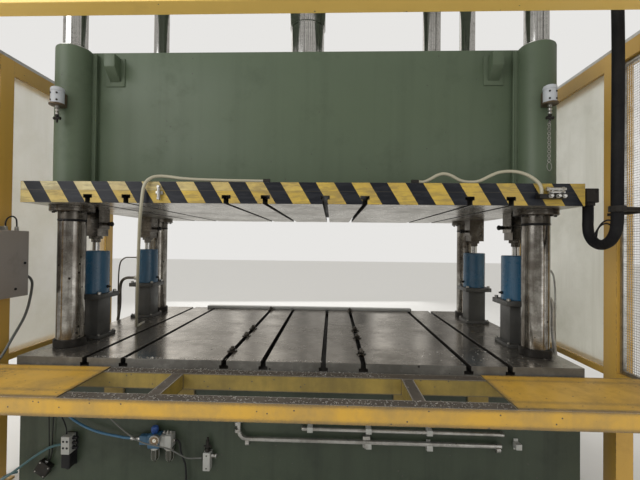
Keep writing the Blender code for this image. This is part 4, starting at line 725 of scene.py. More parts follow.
def round_curve(name: str, route: Sequence[Point], radius: float, fullness: int) -> bpy.types.Curve:
    """Return a round tube curve that runs smoothly through the points of a route."""
    curve = bpy.data.curves.new(name, "CURVE")
    curve.dimensions = "3D"
    curve.bevel_depth = radius
    curve.bevel_resolution = fullness
    curve.resolution_u = 6
    curve.use_fill_caps = True
    line = curve.splines.new("BEZIER")
    line.bezier_points.add(len(route) - 1)
    knots = [Vector(point) for point in route]
    for index, (spot, knot) in enumerate(zip(line.bezier_points, knots)):
        lean = (knots[min(index + 1, len(knots) - 1)] - knots[max(index - 1, 0)]) / 6
        spot.co, spot.handle_left, spot.handle_right = knot, knot - lean, knot + lean
    return curve


def settle(piece: Object, slot: str, body: Body | str, stands_for: Iterable[str] = ()) -> Object:
    """Parent a piece to the body that it rides on and hide the nodes that it stands for.

    Args:
        piece: The finished object.
        slot: The record's material slot. Not used.
        body: The body that it rides on.
        stands_for: Nodes that it replaces.

    Returns:
        The object.
    """
    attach(piece, getattr(body, "value", body))
    if stands_for:
        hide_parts(*stands_for)
    LOG.info("%s rides on %s", piece.name, getattr(body, "value", body))
    return piece


def refined(node: str, suffix: str, slot: str, edge: float, finishes: Sequence[Finish],
            pick: Callable[[Vector, Vector], int] | None = None, body: Body | str = Body.ROOT) -> Object:
    """Copy a node's mesh, merge its flat faces, round its edges and dress it.

    Args:
        node: The node that the piece stands for.
        suffix: What the piece's name adds to the node's name.
        slot: The record's material slot.
        edge: Width of the rounded edges.
        finishes: Finishes that its faces choose from.
        pick: Gives a finish's number from a face's centre and normal.
        body: The body that it rides on.

    Returns:
        The new object.
    """
    shape = bmesh.new()
    shape.from_mesh(FRAME["nodes"][node].data)
    bmesh.ops.remove_doubles(shape, verts=shape.verts, dist=MERGE_WITHIN)
    bmesh.ops.dissolve_limit(shape, angle_limit=FLAT_WITHIN, verts=shape.verts, edges=shape.edges)
    for face in shape.faces:
        face.material_index = pick(face.calc_center_median(), face.normal) if pick else 0
    name = f"{node}_{suffix}"
    mesh = bpy.data.meshes.new(name)
    shape.to_mesh(mesh)
    shape.free()
    for finish in finishes:
        mesh.materials.append(finish.material())
    mesh.shade_smooth()
    mesh.set_sharp_from_angle(angle=NODE_SMOOTH)
    piece = link(name, mesh)
    bevel = piece.modifiers.new("Edges", "BEVEL")
    bevel.width = edge
    bevel.segments = 2
    bevel.limit_method = "ANGLE"
    bevel.angle_limit = BEVEL_FROM
    bevel.harden_normals = True
    return settle(piece, slot, body, (node,))


# Sub-assemblies

@dataclass
class Columns:
    """Tie columns, distance sleeves and the ram's guide bushes."""

    span_x: float = 2.94
    span_y: float = 1.152
    radius: float = 0.07
    sleeve_radius: float = 0.079
    sleeve_top: float = 1.6937
    foot_radius: float = 0.092
    foot_height: float = 0.045
    plate_bottom: float = 1.789
    flange_radius: float = 0.125
    flange_height: float = 0.035
    nose_radius: float = 0.079
    nose_height: float = 0.06
    bush_top: float = 2.763
    bush_radius: float = 0.095
    foot_z: float = 0.48
    screw_circle: float = 0.104
    nut_radius: float = 0.115
    nut_height: float = 0.11

    def build(self) -> None:
        """Build all four corners."""
        for corner, side, row in CORNERS:
            place = (side * self.span_x / 2, row * self.span_y / 2, 0.0)
            self.column(corner, place)
            self.sleeve(corner, place)
            self.bush(corner, place)

    def column(self, corner: str, place: Point) -> None:
        """One column with its collar under the crown and its nut above it."""
        low = CROWN_TOP + GAP
        top = low + self.nut_height
        chamfer = 0.006
        profile = [
            (0, top + 0.04), (0.052, top + 0.04), (0.058, top + 0.034), (0.058, top),
            (self.nut_radius - chamfer, top), (self.nut_radius, top - chamfer), (self.nut_radius, low),
            (self.radius, low), (self.radius, CROWN_LOW - GAP), (0.094, CROWN_LOW - GAP),
            (0.1, CROWN_LOW - 0.006), (0.1, CROWN_LOW - 0.074), (0.094, CROWN_LOW - 0.08),
            (self.radius, CROWN_LOW - 0.08), (self.radius, self.foot_z), (0, self.foot_z)]
        Shape().turned(profile, place, steps=96).stand_in(
            f"column_{corner}", "ground", CHROME, "bright steel")

    def sleeve(self, corner: str, place: Point) -> None:
        """One distance sleeve and its dark foot collar."""
        inner, rim, foot = self.radius + GAP, self.sleeve_radius, self.foot_radius
        low = TABLE_TOP + GAP
        top, foot_top = self.sleeve_top, low + self.foot_height
        profile = [(inner, top), (rim - 0.003, top), (rim, top - 0.003), (rim, foot_top - 0.004),
                   (inner, foot_top - 0.004)]
        Shape().turned(profile, place, steps=96).stand_in(f"distance_sleeve_{corner}", "tube", SLEEVE_STEEL)
        collar = [(inner, foot_top), (rim + 0.001, foot_top), (foot - 0.003, foot_top),
                  (foot, foot_top - 0.003), (foot, low + 0.002), (foot - 0.002, low), (inner, low)]
        Shape().turned(collar, place, steps=64).piece(f"sleeve_foot_{corner}", DARK_STEEL, "bright steel")

    def bush(self, corner: str, place: Point) -> None:
        """One guide bush: body in the tube, flange with screws, nose and wiper ring."""
        inner = self.radius + GAP
        high = self.plate_bottom - GAP
        low = high - self.flange_height
        nose = self.plate_bottom - self.flange_height - self.nose_height
        rim, nose_rim = self.flange_radius, self.nose_radius
        profile = [
            (inner, self.bush_top), (self.bush_radius, self.bush_top), (self.bush_radius, high),
            (rim - 0.002, high), (rim, high - 0.002), (rim, high - 0.0135), (rim - 0.0025, high - 0.0145),
            (rim - 0.0025, high - 0.0165), (rim, high - 0.0175), (rim, low + 0.003), (rim - 0.003, low),
            (nose_rim, low), (nose_rim, nose + 0.012), (inner, nose + 0.012)]
        Shape().turned(profile, place, steps=96).stand_in(
            f"guide_bush_{corner}", "turned", BUSH_STEEL, "bright steel", Body.RAM)
        wiper = [(inner, nose + 0.012), (nose_rim, nose + 0.012), (nose_rim + 0.002, nose + 0.009),
                 (nose_rim + 0.002, nose + 0.002), (nose_rim - 0.001, nose), (inner, nose)]
        Shape().turned(wiper, place, steps=64).piece(f"wiper_ring_{corner}", RUBBER, "bright steel", Body.RAM)
        heads = Shape()
        for across, deep in circle(8, self.screw_circle, 0.5):
            heads.screw((place[0] + across, place[1] + deep, low), DOWN, 0.009, 0.0085)
        heads.piece(f"bush_screws_{corner}", DARK_STEEL, "bright steel", Body.RAM)


@dataclass
class Ram:
    """Ram box with its tubes, the striped plate, oil feeders and manifold."""

    half_length: float = 1.47
    half_depth: float = 0.534
    bottom: float = 1.9133
    top: float = 2.8123
    tube_radius: float = 0.107
    tube_y: float = 0.576
    tube_top: float = 2.7983
    mouth: float = 0.073
    strip_width: float = 0.04
    strip_proud: float = 0.03
    lug_x: float = 1.225
    lug_width: float = 0.07
    lug_reach: float = 0.075
    plate_front: float = -0.823
    plate_end: float = 1.599
    elbow_start: float = 1.6001
    slot_heights: tuple[float, float] = (1.7895, 1.9125)

    def build(self) -> None:
        """Build the ram box, the plate and what is screwed to them."""
        self.box()
        self.plate()
        for name, side in SIDES:
            self.feeder(name, side)
        self.manifold()

    def box(self) -> None:
        """Welded box with corner tubes, weld strips and lugs."""
        long, deep = self.half_length, self.half_depth
        notch_x, notch_y = long - 0.07, deep - 0.034
        ring = []
        for side, row, swap in ((1, 1, False), (-1, 1, True), (-1, -1, False), (1, -1, True)):
            corner = [(side * long, row * notch_y), (side * notch_x, row * notch_y),
                      (side * notch_x, row * deep)]
            ring += corner[::-1] if swap else corner
        shape = Shape().outline([(x, y, self.bottom) for x, y in ring], (0, 0, self.top - self.bottom), 0.004)
        rim, mouth, high = self.tube_radius, self.mouth, self.tube_top
        wide, proud = self.strip_width / 2, self.strip_proud
        profile = [(mouth, high), (rim - 0.01, high), (rim - 0.002, high - 0.004), (rim, high - 0.011),
                   (rim, self.bottom), (mouth, self.bottom)]
        for _, side, row in CORNERS:
            shape.turned(profile, (side * long, row * self.tube_y, 0), steps=96)
            x = side * (long - rim)
            shape.box((x - wide, row * deep - proud, self.bottom),
                      (x + wide, row * deep + proud, high - 0.001), 0.008, segments=3)
            for edge in (-1, 1):
                self.weld(shape, (x + edge * wide, row * (deep + proud - 0.006), 0))
        top, wall = self.top - 0.042, -deep + 0.002
        front = -deep - self.lug_reach
        for _, side in SIDES:
            x = side * self.lug_x
            start = x - self.lug_width / 2
            points = [(start, wall, top), (start, front, top), (start, front, top - 0.085),
                      (start, wall, top - 0.165)]
            shape.outline(points, (self.lug_width, 0, 0), 0.004)
            shape.box((x - 0.062, -deep - 0.006, top - 0.185), (x + 0.062, wall, top), 0.002)
        shape.stand_in("ram_box", "welded", GREEN, body=Body.RAM)
        self.scrapers()

    def weld(self, shape: Shape, foot: Point) -> None:
        """Add one upright weld bead with its ripples."""
        pitch, low, high = 0.0105, self.bottom + 0.004, self.tube_top - 0.006
        profile = [(0, low)]
        for step in range(int((high - low) / pitch)):
            start = low + step * pitch
            profile += [
                (0.0062, start + 0.001), (0.0082, start + 0.45 * pitch), (0.0062, start + 0.9 * pitch)]
        shape.turned([*profile, (0, high)], foot, steps=10)

    def scrapers(self) -> None:
        """Ground scraper rings that sit in the mouths of the guide tubes and flare round the columns."""
        rings, mouth, top = Shape(), self.mouth, self.tube_top
        flare = [(mouth + out, top + up) for out, up in ((-0.002, -0.02), (0.0225, -0.001), (0.0235, 0.004),
                                                         (0.015, 0.0085), (0.004, 0.01), (-0.002, 0.012))]
        for _, side, row in CORNERS:
            rings.turned(flare, (side * self.half_length, row * self.tube_y, 0), steps=96)
        rings.piece("guide_scraper_rings", ZINC, body=Body.RAM)

    def plate(self) -> None:
        """T-slotted plate: striped front, machined faces, dark elbow."""
        def pick(centre: Vector, normal: Vector) -> int:
            """Choose stripes for the front face, dark steel for the elbow, machined steel elsewhere."""
            if centre.x > self.elbow_start:
                return 2
            if abs(abs(centre.y) + self.plate_front) < 0.001 or abs(centre.x) > self.plate_end:
                return 0
            low, high = self.slot_heights
            # Faces inside the slots take the near black of oil and painted shade.
            return 1 if abs(normal.z) > 0.9 and not low < centre.z < high else 3
        refined("ram_plate", "slotted", "hazard paint", 0.0015, (HAZARD, PLATE_STEEL, DARK_STEEL, SLOT_OIL_AND_SHADE),
                pick, body=Body.RAM)

    def feeder(self, name: str, side: int) -> None:
        """Oil feeder: pale canister with a stepped lid on a bronze flange, with a cross fitting below."""
        x, low = side * (self.half_length - 0.008), 2.385
        back = -self.tube_y - self.tube_radius - 0.0123
        middle = back - 0.036
        canister = [
            (radius, low + up) for radius, up in (
                (0, 0.01), (0.0345, 0.01), (0.036, 0.012), (0.036, 0.08), (0.0345, 0.082), (0.0345, 0.084),
                (0.037, 0.086), (0.037, 0.098), (0.034, 0.106), (0.026, 0.1105), (0, 0.1115))]
        Shape().turned(canister, (x, middle, 0), steps=64).stand_in(
            f"oil_feeder_{name}", "canister", WHITE, body=Body.RAM)
        trim = Shape()
        for angle in (-0.55, 0.55):
            aim = (math.sin(angle), -math.cos(angle), 0)
            for high in (0.026, 0.068):
                spot = (x + 0.0358 * aim[0], middle + 0.0358 * aim[1], low + high)
                trim.screw(spot, aim, 0.0055, 0.0035)
        trim.piece(f"oil_feeder_{name}_ports", DARK_STEEL, body=Body.RAM)
        nipple = [(0, 0.001), (0.012, 0.001), (0.012, -0.01), (0.007, -0.012), (0.007, -0.015),
                  (0.0105, -0.02), (0.0118, -0.026), (0.0105, -0.032), (0.006, -0.036), (0.0095, -0.041),
                  (0.0108, -0.047), (0.0095, -0.053), (0.005, -0.057), (0, -0.057)]
        Shape().turned(nipple, (x, middle, low), steps=32).piece(
            f"oil_feeder_{name}_nipple", ZINC, body=Body.RAM)
        flange = [(0, low), (0.0415, low), (0.044, low + 0.002), (0.044, low + 0.0085),
                  (0.0415, low + 0.0105), (0, low + 0.0105)]
        base = Shape().turned(flange, (x, middle, 0), steps=48)
        base.box((x - 0.026, back - 0.006, low + 0.002), (x + 0.026, back + 0.0115, low + 0.084), 0.002)
        base.piece(f"oil_feeder_{name}_base", BRONZE, "white plastic", Body.RAM)
        cross = Shape()
        cross.nut((x, middle, low - 0.068), UP, 0.0115, 0.013)
        cross.bar((x - 0.019, middle, low - 0.076), (x + 0.019, middle, low - 0.076), 0.0075, 16, 0.001)
        for across in (-0.021, 0.013):
            cross.nut((x + across, middle, low - 0.076), RIGHT, 0.01, 0.008)
        cross.bar((x, middle, low - 0.102), (x, middle, low - 0.066), 0.006, 16, 0.001)
        cross.piece(f"oil_feeder_{name}_cross", DARK_STEEL, body=Body.RAM)
        if side > 0:
            self.chain((x - 0.004, middle, low - 0.098), 0.235)

    @staticmethod
    def chain(start: Point, length: float) -> None:
        """Link chain that hangs from the cross fitting and ends in a larger loop."""
        shape = Shape()
        x, y, pitch = start[0], start[1], 0.013
        for step in range(int(length / pitch)):
            drop = start[2] - 0.004 - step * pitch
            shape.ring((x, y, drop), ((1, 0, 0), (0, 1, 0))[step % 2], 0.0082, 0.002, 10, 6)
        foot = start[2] - length
        loop = ((0, 0), (0.012, -0.01), (0.013, -0.035), (0.002, -0.05), (-0.01, -0.034), (-0.009, -0.01),
                (0, 0.001))
        shape.pipe([(x + across, y, foot + drop) for across, drop in loop], 0.0018, 8)
        shape.piece("drain_chain_right", ZINC, body=Body.RAM)

    def manifold(self) -> None:
        """Valve manifold with fittings on the plate's front."""
        x, face, top = 1.405, self.plate_front - GAP, 1.849
        mid, near, plug = face - 0.024, face - 0.016, -0.776
        shape = Shape().box((x - 0.075, face - 0.046, top - 0.024), (x + 0.075, face, top), 0.002)
        shape.stand_in("ram_manifold", "block", DARK_STEEL, body=Body.RAM)
        bright = Shape()
        for share, high, reach in ((-0.02, -0.012, 0.022), (0.018, -0.012, 0.026), (0.052, -0.012, 0.018)):
            bright.nut((x + share, face - 0.045, top + high), FRONT, 0.0125, 0.01)
            bright.bar((x + share, face - 0.05, top + high), (x + share, face - 0.045 - reach, top + high),
                       0.008, 20, 0.0015)
        for high, left, right in ((0.012, -0.014, 0.07), (0.03, -0.026, 0.076)):
            bright.bar((x + left, mid, top + high), (x + right, mid, top + high), 0.0088, 24, 0.002)
            bright.nut((x + left - 0.004, mid, top + high), RIGHT, 0.0125, 0.012)
            bright.nut((x + right - 0.024, mid, top + high), RIGHT, 0.0125, 0.014)
        for share in (0.006, 0.04):
            bright.bar((x + share, mid, top - 0.002), (x + share, mid, top + 0.03), 0.006, 16)
        bright.nut((plug, near, 1.806), UP, 0.0115, 0.014)
        bright.bar((plug, near, 1.8195), (plug, near, 1.876), 0.009, 24, 0.002)
        bright.nut((plug, near, 1.874), UP, 0.0115, 0.014)
        bright.box((-0.796, face - 0.01, 1.838), (-0.756, face + 0.0002, 1.856), 0.001)
        bright.piece("ram_plate_fittings", ZINC, body=Body.RAM)
        elbow = Shape()
        for x in (1.626, 1.694):
            elbow.screw((x, -0.7805, 1.88), FRONT, 0.005, 0.004)
        elbow.turned([(0.0278, 0), (0.0335, 0.001), (0.0335, 0.014), (0.0278, 0.015)], (1.67, -0.743, 1.7985),
                     steps=40)
        elbow.piece("main_hose_collar", DARK_STEEL, body=Body.RAM)


# Damper pipes: name, radius, sides, nut size and the route as reach, depth and height

DAMPER_PIPES = (
    ("thin", 0.006, 12, 0.012,
     ((0.15, 0, 1.424), (0.205, 0, 1.42), (0.246, 0, 1.385), (0.262, 0, 1.31), (0.266, 0, 1.18),
      (0.266, 0, 0.95), (0.266, 0, 0.72), (0.258, 0, 0.64), (0.222, 0, 0.6), (0.18, 0, 0.6),
      (0.126, 0, 0.6))),
    ("thick", 0.0125, 16, 0.022,
     ((0.14, 0, 1.24), (0.195, 0, 1.236), (0.235, 0, 1.205), (0.248, 0, 1.14), (0.248, 0, 1.0),
      (0.246, -0.03, 0.86), (0.244, -0.05, 0.76), (0.236, -0.055, 0.7), (0.2, -0.055, 0.665),
      (0.16, -0.055, 0.662), (0.126, -0.055, 0.662))),
)


@dataclass
class Dampers:
    """Damper stands, cylinders, rods and stop blocks."""

    span_x: float = 2.92
    span_y: float = 0.712
    stand_foot: float = 0.9003
    stand_top: float = 1.204
    radius: float = 0.088
    height: float = 0.296
    rod_radius: float = 0.0225
    rod_top: float = 1.5603

    def build(self) -> None:
        """Build all four corners."""
        for corner, side, row in CORNERS:
            place = (side * self.span_x / 2, row * self.span_y / 2, 0.0)
            self.stand(corner, place)
            self.cylinder(corner, place)
            refined(f"stop_block_{corner}", "machined", "dark steel", 0.0015, (BUSH_STEEL, DARK_STEEL),
                    lambda centre, normal: int(centre.z > 1.72), body=Body.RAM)
            self.knob(corner, side, row)
        self.pipes("rear_left", -1, 1, BUSH_STEEL)
        self.pipes("front_right", 1, -1, ZINC)

    def knob(self, corner: str, side: int, row: int) -> None:
        """Ball knob with its collar on the end of the stop block's clamp."""
        place = (side * (self.span_x / 2 - 0.101), row * self.span_y / 2, 1.689)
        ball = [(0.0112, -0.016), (0.0135, -0.012), (0.0135, -0.002), (0.0112, 0.0), (0.0152, 0.005),
                (0.0172, 0.011), (0.016, 0.017), (0.011, 0.0215), (0.0, 0.023)]
        knob = Shape().turned(ball, place, (-side, 0, 0), 32)
        knob.piece(f"clamp_knob_{corner}", RUBBER, "dark steel", Body.RAM)

    def pipes(self, corner: str, side: int, row: int, finish: Finish) -> None:
        """Two bent pipes from a cylinder down past the table to its end wall of the bed."""
        x, y = side * self.span_x / 2, row * self.span_y / 2
        out = x + side * self.radius
        for kind, radius, sides, _, route in DAMPER_PIPES:
            points = [(x + side * across, y + deep, high) for across, deep, high in route]
            Shape().pipe([(out - side * 0.002, y, route[0][2]), *points], radius, sides).piece(
                f"damper_pipe_{kind}_{corner}", finish, "zinc")
        nuts = Shape()
        for _, _, _, size, route in DAMPER_PIPES:
            nuts.nut((out - side * 0.003, y, route[0][2]), (side, 0, 0), size, 1.4 * size)
        for _, _, _, size, route in DAMPER_PIPES:
            nuts.nut((side * 1.5895, y + route[-1][1], route[-1][2]), (side, 0, 0), size, 1.2 * size)
        nuts.piece(f"damper_pipe_nuts_{corner}", ZINC)

    def stand(self, corner: str, place: Point) -> None:
        """Welded stand with cap screws on its head."""
        x, y, _ = place
        low, top = self.stand_foot, self.stand_top
        shape = Shape()
        for half, start, end, edge in ((0.095, low, low + 0.022, 0.002),
                                       (0.07, low + 0.01, top - 0.005, 0.004),
                                       (0.107, top - 0.032, top, 0.0025)):
            shape.box((x - half, y - half, start), (x + half, y + half, end), edge)
        shape.stand_in(f"damper_stand_{corner}", "welded", STAND_GREY, "dark steel")
        heads = Shape()
        for _, side, row in CORNERS:
            heads.screw((x + side * 0.087, y + row * 0.087, top), UP, 0.012, 0.016)
            heads.screw((x + side * 0.084, y + row * 0.084, low + 0.022), UP, 0.008, 0.01)
        heads.piece(f"damper_stand_{corner}_screws", ZINC, "dark steel")
        inward = 1 if x < 0 else -1
        start = x + inward * (self.radius - 0.002)
        port = Shape().nut((start, y, top + 0.045), (inward, 0, 0), 0.011, 0.012)
        port.bar((start, y, top + 0.045), (start + inward * 0.024, y, top + 0.045), 0.006, 16, 0.001)
        port.piece(f"damper_port_{corner}", DARK_STEEL)

    def cylinder(self, corner: str, place: Point) -> None:
        """Blue cylinder with a recessed gland, and its chrome rod."""
        low = self.stand_top + GAP
        top = low + self.height
        bore = self.rod_radius + GAP
        profile = [
            (bore, top - 0.004), (0.052, top - 0.004), (0.054, top), (self.radius - 0.004, top),
            (self.radius, top - 0.004), (self.radius, low + 0.002), (self.radius - 0.002, low), (bore, low)]
        Shape().turned(profile, place, steps=72).stand_in(f"damper_cylinder_{corner}", "turned", BLUE)
        Shape().bar((place[0], place[1], top - 0.15), (place[0], place[1], self.rod_top), self.rod_radius, 40,
                    0.002).stand_in(f"damper_rod_{corner}", "ground", CHROME, body=f"damper_rod_{corner}")


@dataclass
class Table:
    """Bed and T-slotted table, with swarf left along its edges."""

    half_length: float = 1.6
    half_depth: float = 0.823
    bottom: float = 0.78
    slots: Sequence[float] = (-1.2, -0.974, -0.394, -0.17, 0.17, 0.394, 0.974, 1.2)

    def build(self) -> None:
        """Build bed and table."""
        def pick(centre: Vector, normal: Vector) -> int:
            """Choose bright steel for the top, edge steel for the walls, oily black with painted shade in the
            slots.
            """
            if normal.z > 0.9 and centre.z > TABLE_TOP - 0.001:
                return 0
            outside = abs(centre.x) > self.half_length - 0.001 or abs(centre.y) > self.half_depth - 0.001
            return 1 if outside or centre.z < self.bottom + 0.002 else 2
        refined("bolster_table", "slotted", "machined steel", 0.0015, (TABLE_STEEL, EDGE_STEEL, SLOT_OIL_AND_SHADE),
                pick)
        # The bed takes the darker green: oil and painted shade.
        refined("bed", "welded", "bed paint", 0.004, (OILY_SHADED_BED_GREEN,))
        self.clamps()
        self.swarf()

    def clamps(self) -> None:
        """T-bolts with nuts and washers that stand in the slots, and a stop angle along the rear edge."""
        steel = Shape()
        for x in (self.slots[2], self.slots[5]):
            for y in (0.74, -0.066, -0.285, -0.647):
                steel.bar((x, y, TABLE_TOP - 0.015), (x, y, TABLE_TOP + 0.032), 0.01, 20, 0.0015)
                steel.turned([(0.01, 0), (0.031, 0), (0.031, 0.004), (0.027, 0.007), (0.01, 0.007)],
                             (x, y, TABLE_TOP + GAP), steps=28)
                steel.nut((x, y, TABLE_TOP + 0.0072), UP, 0.019, 0.014)
        steel.piece("table_t_bolts", BUSH_STEEL, "dark steel")
        stop = Shape().box((-1.05, self.half_depth - 0.05, TABLE_TOP + GAP),
                           (1.01, self.half_depth + 0.016, TABLE_TOP + 0.024), 0.002)
        stop.box((-1.05, self.half_depth + GAP, TABLE_TOP - 0.056),
                 (1.01, self.half_depth + 0.016, TABLE_TOP + 0.01))
        # The stop bar takes the pale finish with its painted reflection.
        stop.piece("table_rear_stop", PALE_BAR_WITH_REFLECTION, "machined steel")

    def swarf(self) -> None:
        """Scatter small bright chips on the table's front edge and on the platform's beams."""
        draw = random.Random(7)
        shape = Shape()
        strips = (
            (150, (-1.15, 0.3), (-0.819, -0.795), TABLE_TOP), (420, (-1.2, 1.02), (-1.238, -1.176), 0.852),
            (360, (-1.1, 0.5), (-0.905, -0.828), 0.852), (60, (0.6, 1.5), (-0.78, -0.5), TABLE_TOP))
        for count, across, deep, level in strips:
            for _ in range(count):
                long, wide, thick = draw.uniform(0.004, 0.013), draw.uniform(0.0015, 0.004), 0.0008
                x, y = draw.uniform(*across), draw.uniform(*deep)
                turn = Matrix.Rotation(draw.uniform(0, math.tau), 3, "Z") @ Matrix.Rotation(
                    draw.uniform(-0.5, 0.5), 3, "Y")
                shape.box((x - long / 2, y - wide / 2, level + 0.001),
                          (x + long / 2, y + wide / 2, level + 0.001 + thick), 0.0, turn)
        shape.piece("loose_swarf", SWARF, "machined steel")


@dataclass
class Crown:
    """Crown, main cylinder, plunger and the catcher rod."""

    foot: float = 2.8126

    def build(self) -> None:
        """Build the upper works."""
        refined("crown", "welded", "green paint", 0.005, (GREEN,))
        self.plunger()
        self.catcher()
        self.cylinder()

    def plunger(self) -> None:
        """Plunger with a stepped spigot and a bolted foot."""
        foot = self.foot
        profile = [(0, 4.35), (0.136, 4.35), (0.14, 4.346), (0.14, 3.274), (0.136, 3.27), (0.13, 3.27),
                   (0.13, foot + 0.06), (0.186, foot + 0.06), (0.19, foot + 0.056), (0.19, foot), (0, foot)]
        Shape().turned(profile, steps=96).stand_in("plunger", "ground", CHROME, body=Body.RAM)
        heads = Shape()
        for across, deep in circle(8, 0.16):
            heads.screw((across, deep, foot + 0.06), UP, 0.015, 0.016)
        heads.piece("plunger_screws", DARK_STEEL, "chrome", Body.RAM)

    def catcher(self) -> None:
        """Catcher rod and the housing it runs through."""
        x, foot, top = 0.98, self.foot, CROWN_TOP + 0.3403
        profile = [(0, top + 0.06), (0.0645, top + 0.06), (0.0675, top + 0.057), (0.0675, foot + 0.05),
                   (0.102, foot + 0.05), (0.105, foot + 0.047), (0.105, foot), (0, foot)]
        Shape().turned(profile, (x, 0, 0), steps=72).stand_in("catcher_rod", "ground", CHROME, body=Body.RAM)
        low = CROWN_TOP + GAP
        housing = [(0.0678, top), (0.136, top), (0.14, top - 0.004), (0.14, low + 0.04), (0.181, low + 0.04),
                   (0.185, low + 0.036), (0.185, low), (0.0678, low)]
        Shape().turned(housing, (x, 0, 0), steps=72).stand_in("rod_catcher", "housing", DARK_STEEL)

    def cylinder(self) -> None:
        """Main cylinder with flange, gland and port."""
        low = CROWN_TOP + GAP
        top = 4.95
        profile = [
            (0, top + 0.07), (0.056, top + 0.07), (0.06, top + 0.066), (0.06, top), (0.229, top),
            (0.235, top - 0.006), (0.235, low + 0.08), (0.305, low + 0.08), (0.31, low + 0.075), (0.31, low),
            (0.235, low), (0.235, CROWN_LOW), (0.195, CROWN_LOW), (0.195, 3.874), (0.191, 3.87),
            (0.1403, 3.87), (0.1403, 4.83), (0, 4.83)]
        Shape().turned(profile, steps=96).stand_in("main_cylinder", "turned", GREEN)
        heads = Shape()
        for across, deep in circle(12, 0.273):
            heads.screw((across, deep, low + 0.08), UP, 0.02, 0.022)
        heads.piece("cylinder_screws", DARK_STEEL, "green paint")


@dataclass
class Guard:
    """Guard of square tube with its tracks, panels and mesh."""

    top: float = 2.754

    def build(self) -> None:
        """Build both side frames, the lintel and the panels."""
        for name, _ in SIDES:
            refined(f"guard_frame_{name}", "welded", "yellow paint", 0.004, (YELLOW, ALUMINIUM),
                    lambda centre, normal: int(centre.z > self.top + 0.001))
        # The lintel takes the brighter yellow, painted bounce light on its underside.
        refined("guard_lintel", "tube", "yellow paint", 0.004, (LIT_LINTEL_YELLOW,))
        refined("side_panel_left", "sheet", "cream panel", 0.001, (CREAM,))
        refined("side_panel_right", "sheet", "clear panel", 0.001, (HAZY,))
        self.mesh_panel()

    def mesh_panel(self) -> None:
        """Rim and crossing wires of the right front bay."""
        (left, front, under), (right, rear, over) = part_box("mesh_panel_right")
        rim = 0.024
        shape = Shape()
        for near, far, start, end in ((front, front + rim, under, over), (rear - rim, rear, under, over),
                                      (front + rim, rear - rim, under, under + rim),
                                      (front + rim, rear - rim, over - rim, over)):
            shape.box((left, near, start), (right, far, end), 0.002)
        shape.stand_in("mesh_panel_right", "rim", ZINC)
        wires = Shape()
        x = (left + right) / 2
        pitch, radius = 0.0145, 0.0014
        across = int((rear - front - 2 * rim) / pitch)
        for step in range(1, across):
            y = front + rim + step * pitch
            wires.bar((x - radius, y, under + rim / 2), (x - radius, y, over - rim / 2), radius, 5)
        up = int((over - under - 2 * rim) / pitch)
        for step in range(1, up):
            z = under + rim + step * pitch
            wires.bar((x + radius, front + rim / 2, z), (x + radius, rear - rim / 2, z), radius, 5)
        wires.piece("mesh_panel_right_wires", ZINC)


@dataclass
class Platform:
    """Yellow front platform, its tops trodden and its edges chipped."""

    top: float = 0.852
    deck_x: float = 1.03
    front_beam_rear: float = -1.18

    def build(self) -> None:
        """Dress the welded platform."""
        def pick(centre: Vector, normal: Vector) -> int:
            """Choose the trodden finish for the tops of beams and ties between the decks."""
            if normal.z > 0.9 and abs(centre.x) < self.deck_x and centre.z > self.top - 0.004:
                return 1
            # Faces inside and behind the front beam take the olive yellow: dirt, and painted shade for the
            # shade that they lie in.
            inside = centre.y > self.front_beam_rear or abs(normal.x) > 0.9
            return 2 if normal.z < 0.9 and inside and abs(centre.x) < 1.7 else 0
        refined("platform_frame", "welded", "yellow paint", 0.003, (WORN_YELLOW, TRODDEN, SHADED_DIRTY_YELLOW), pick)


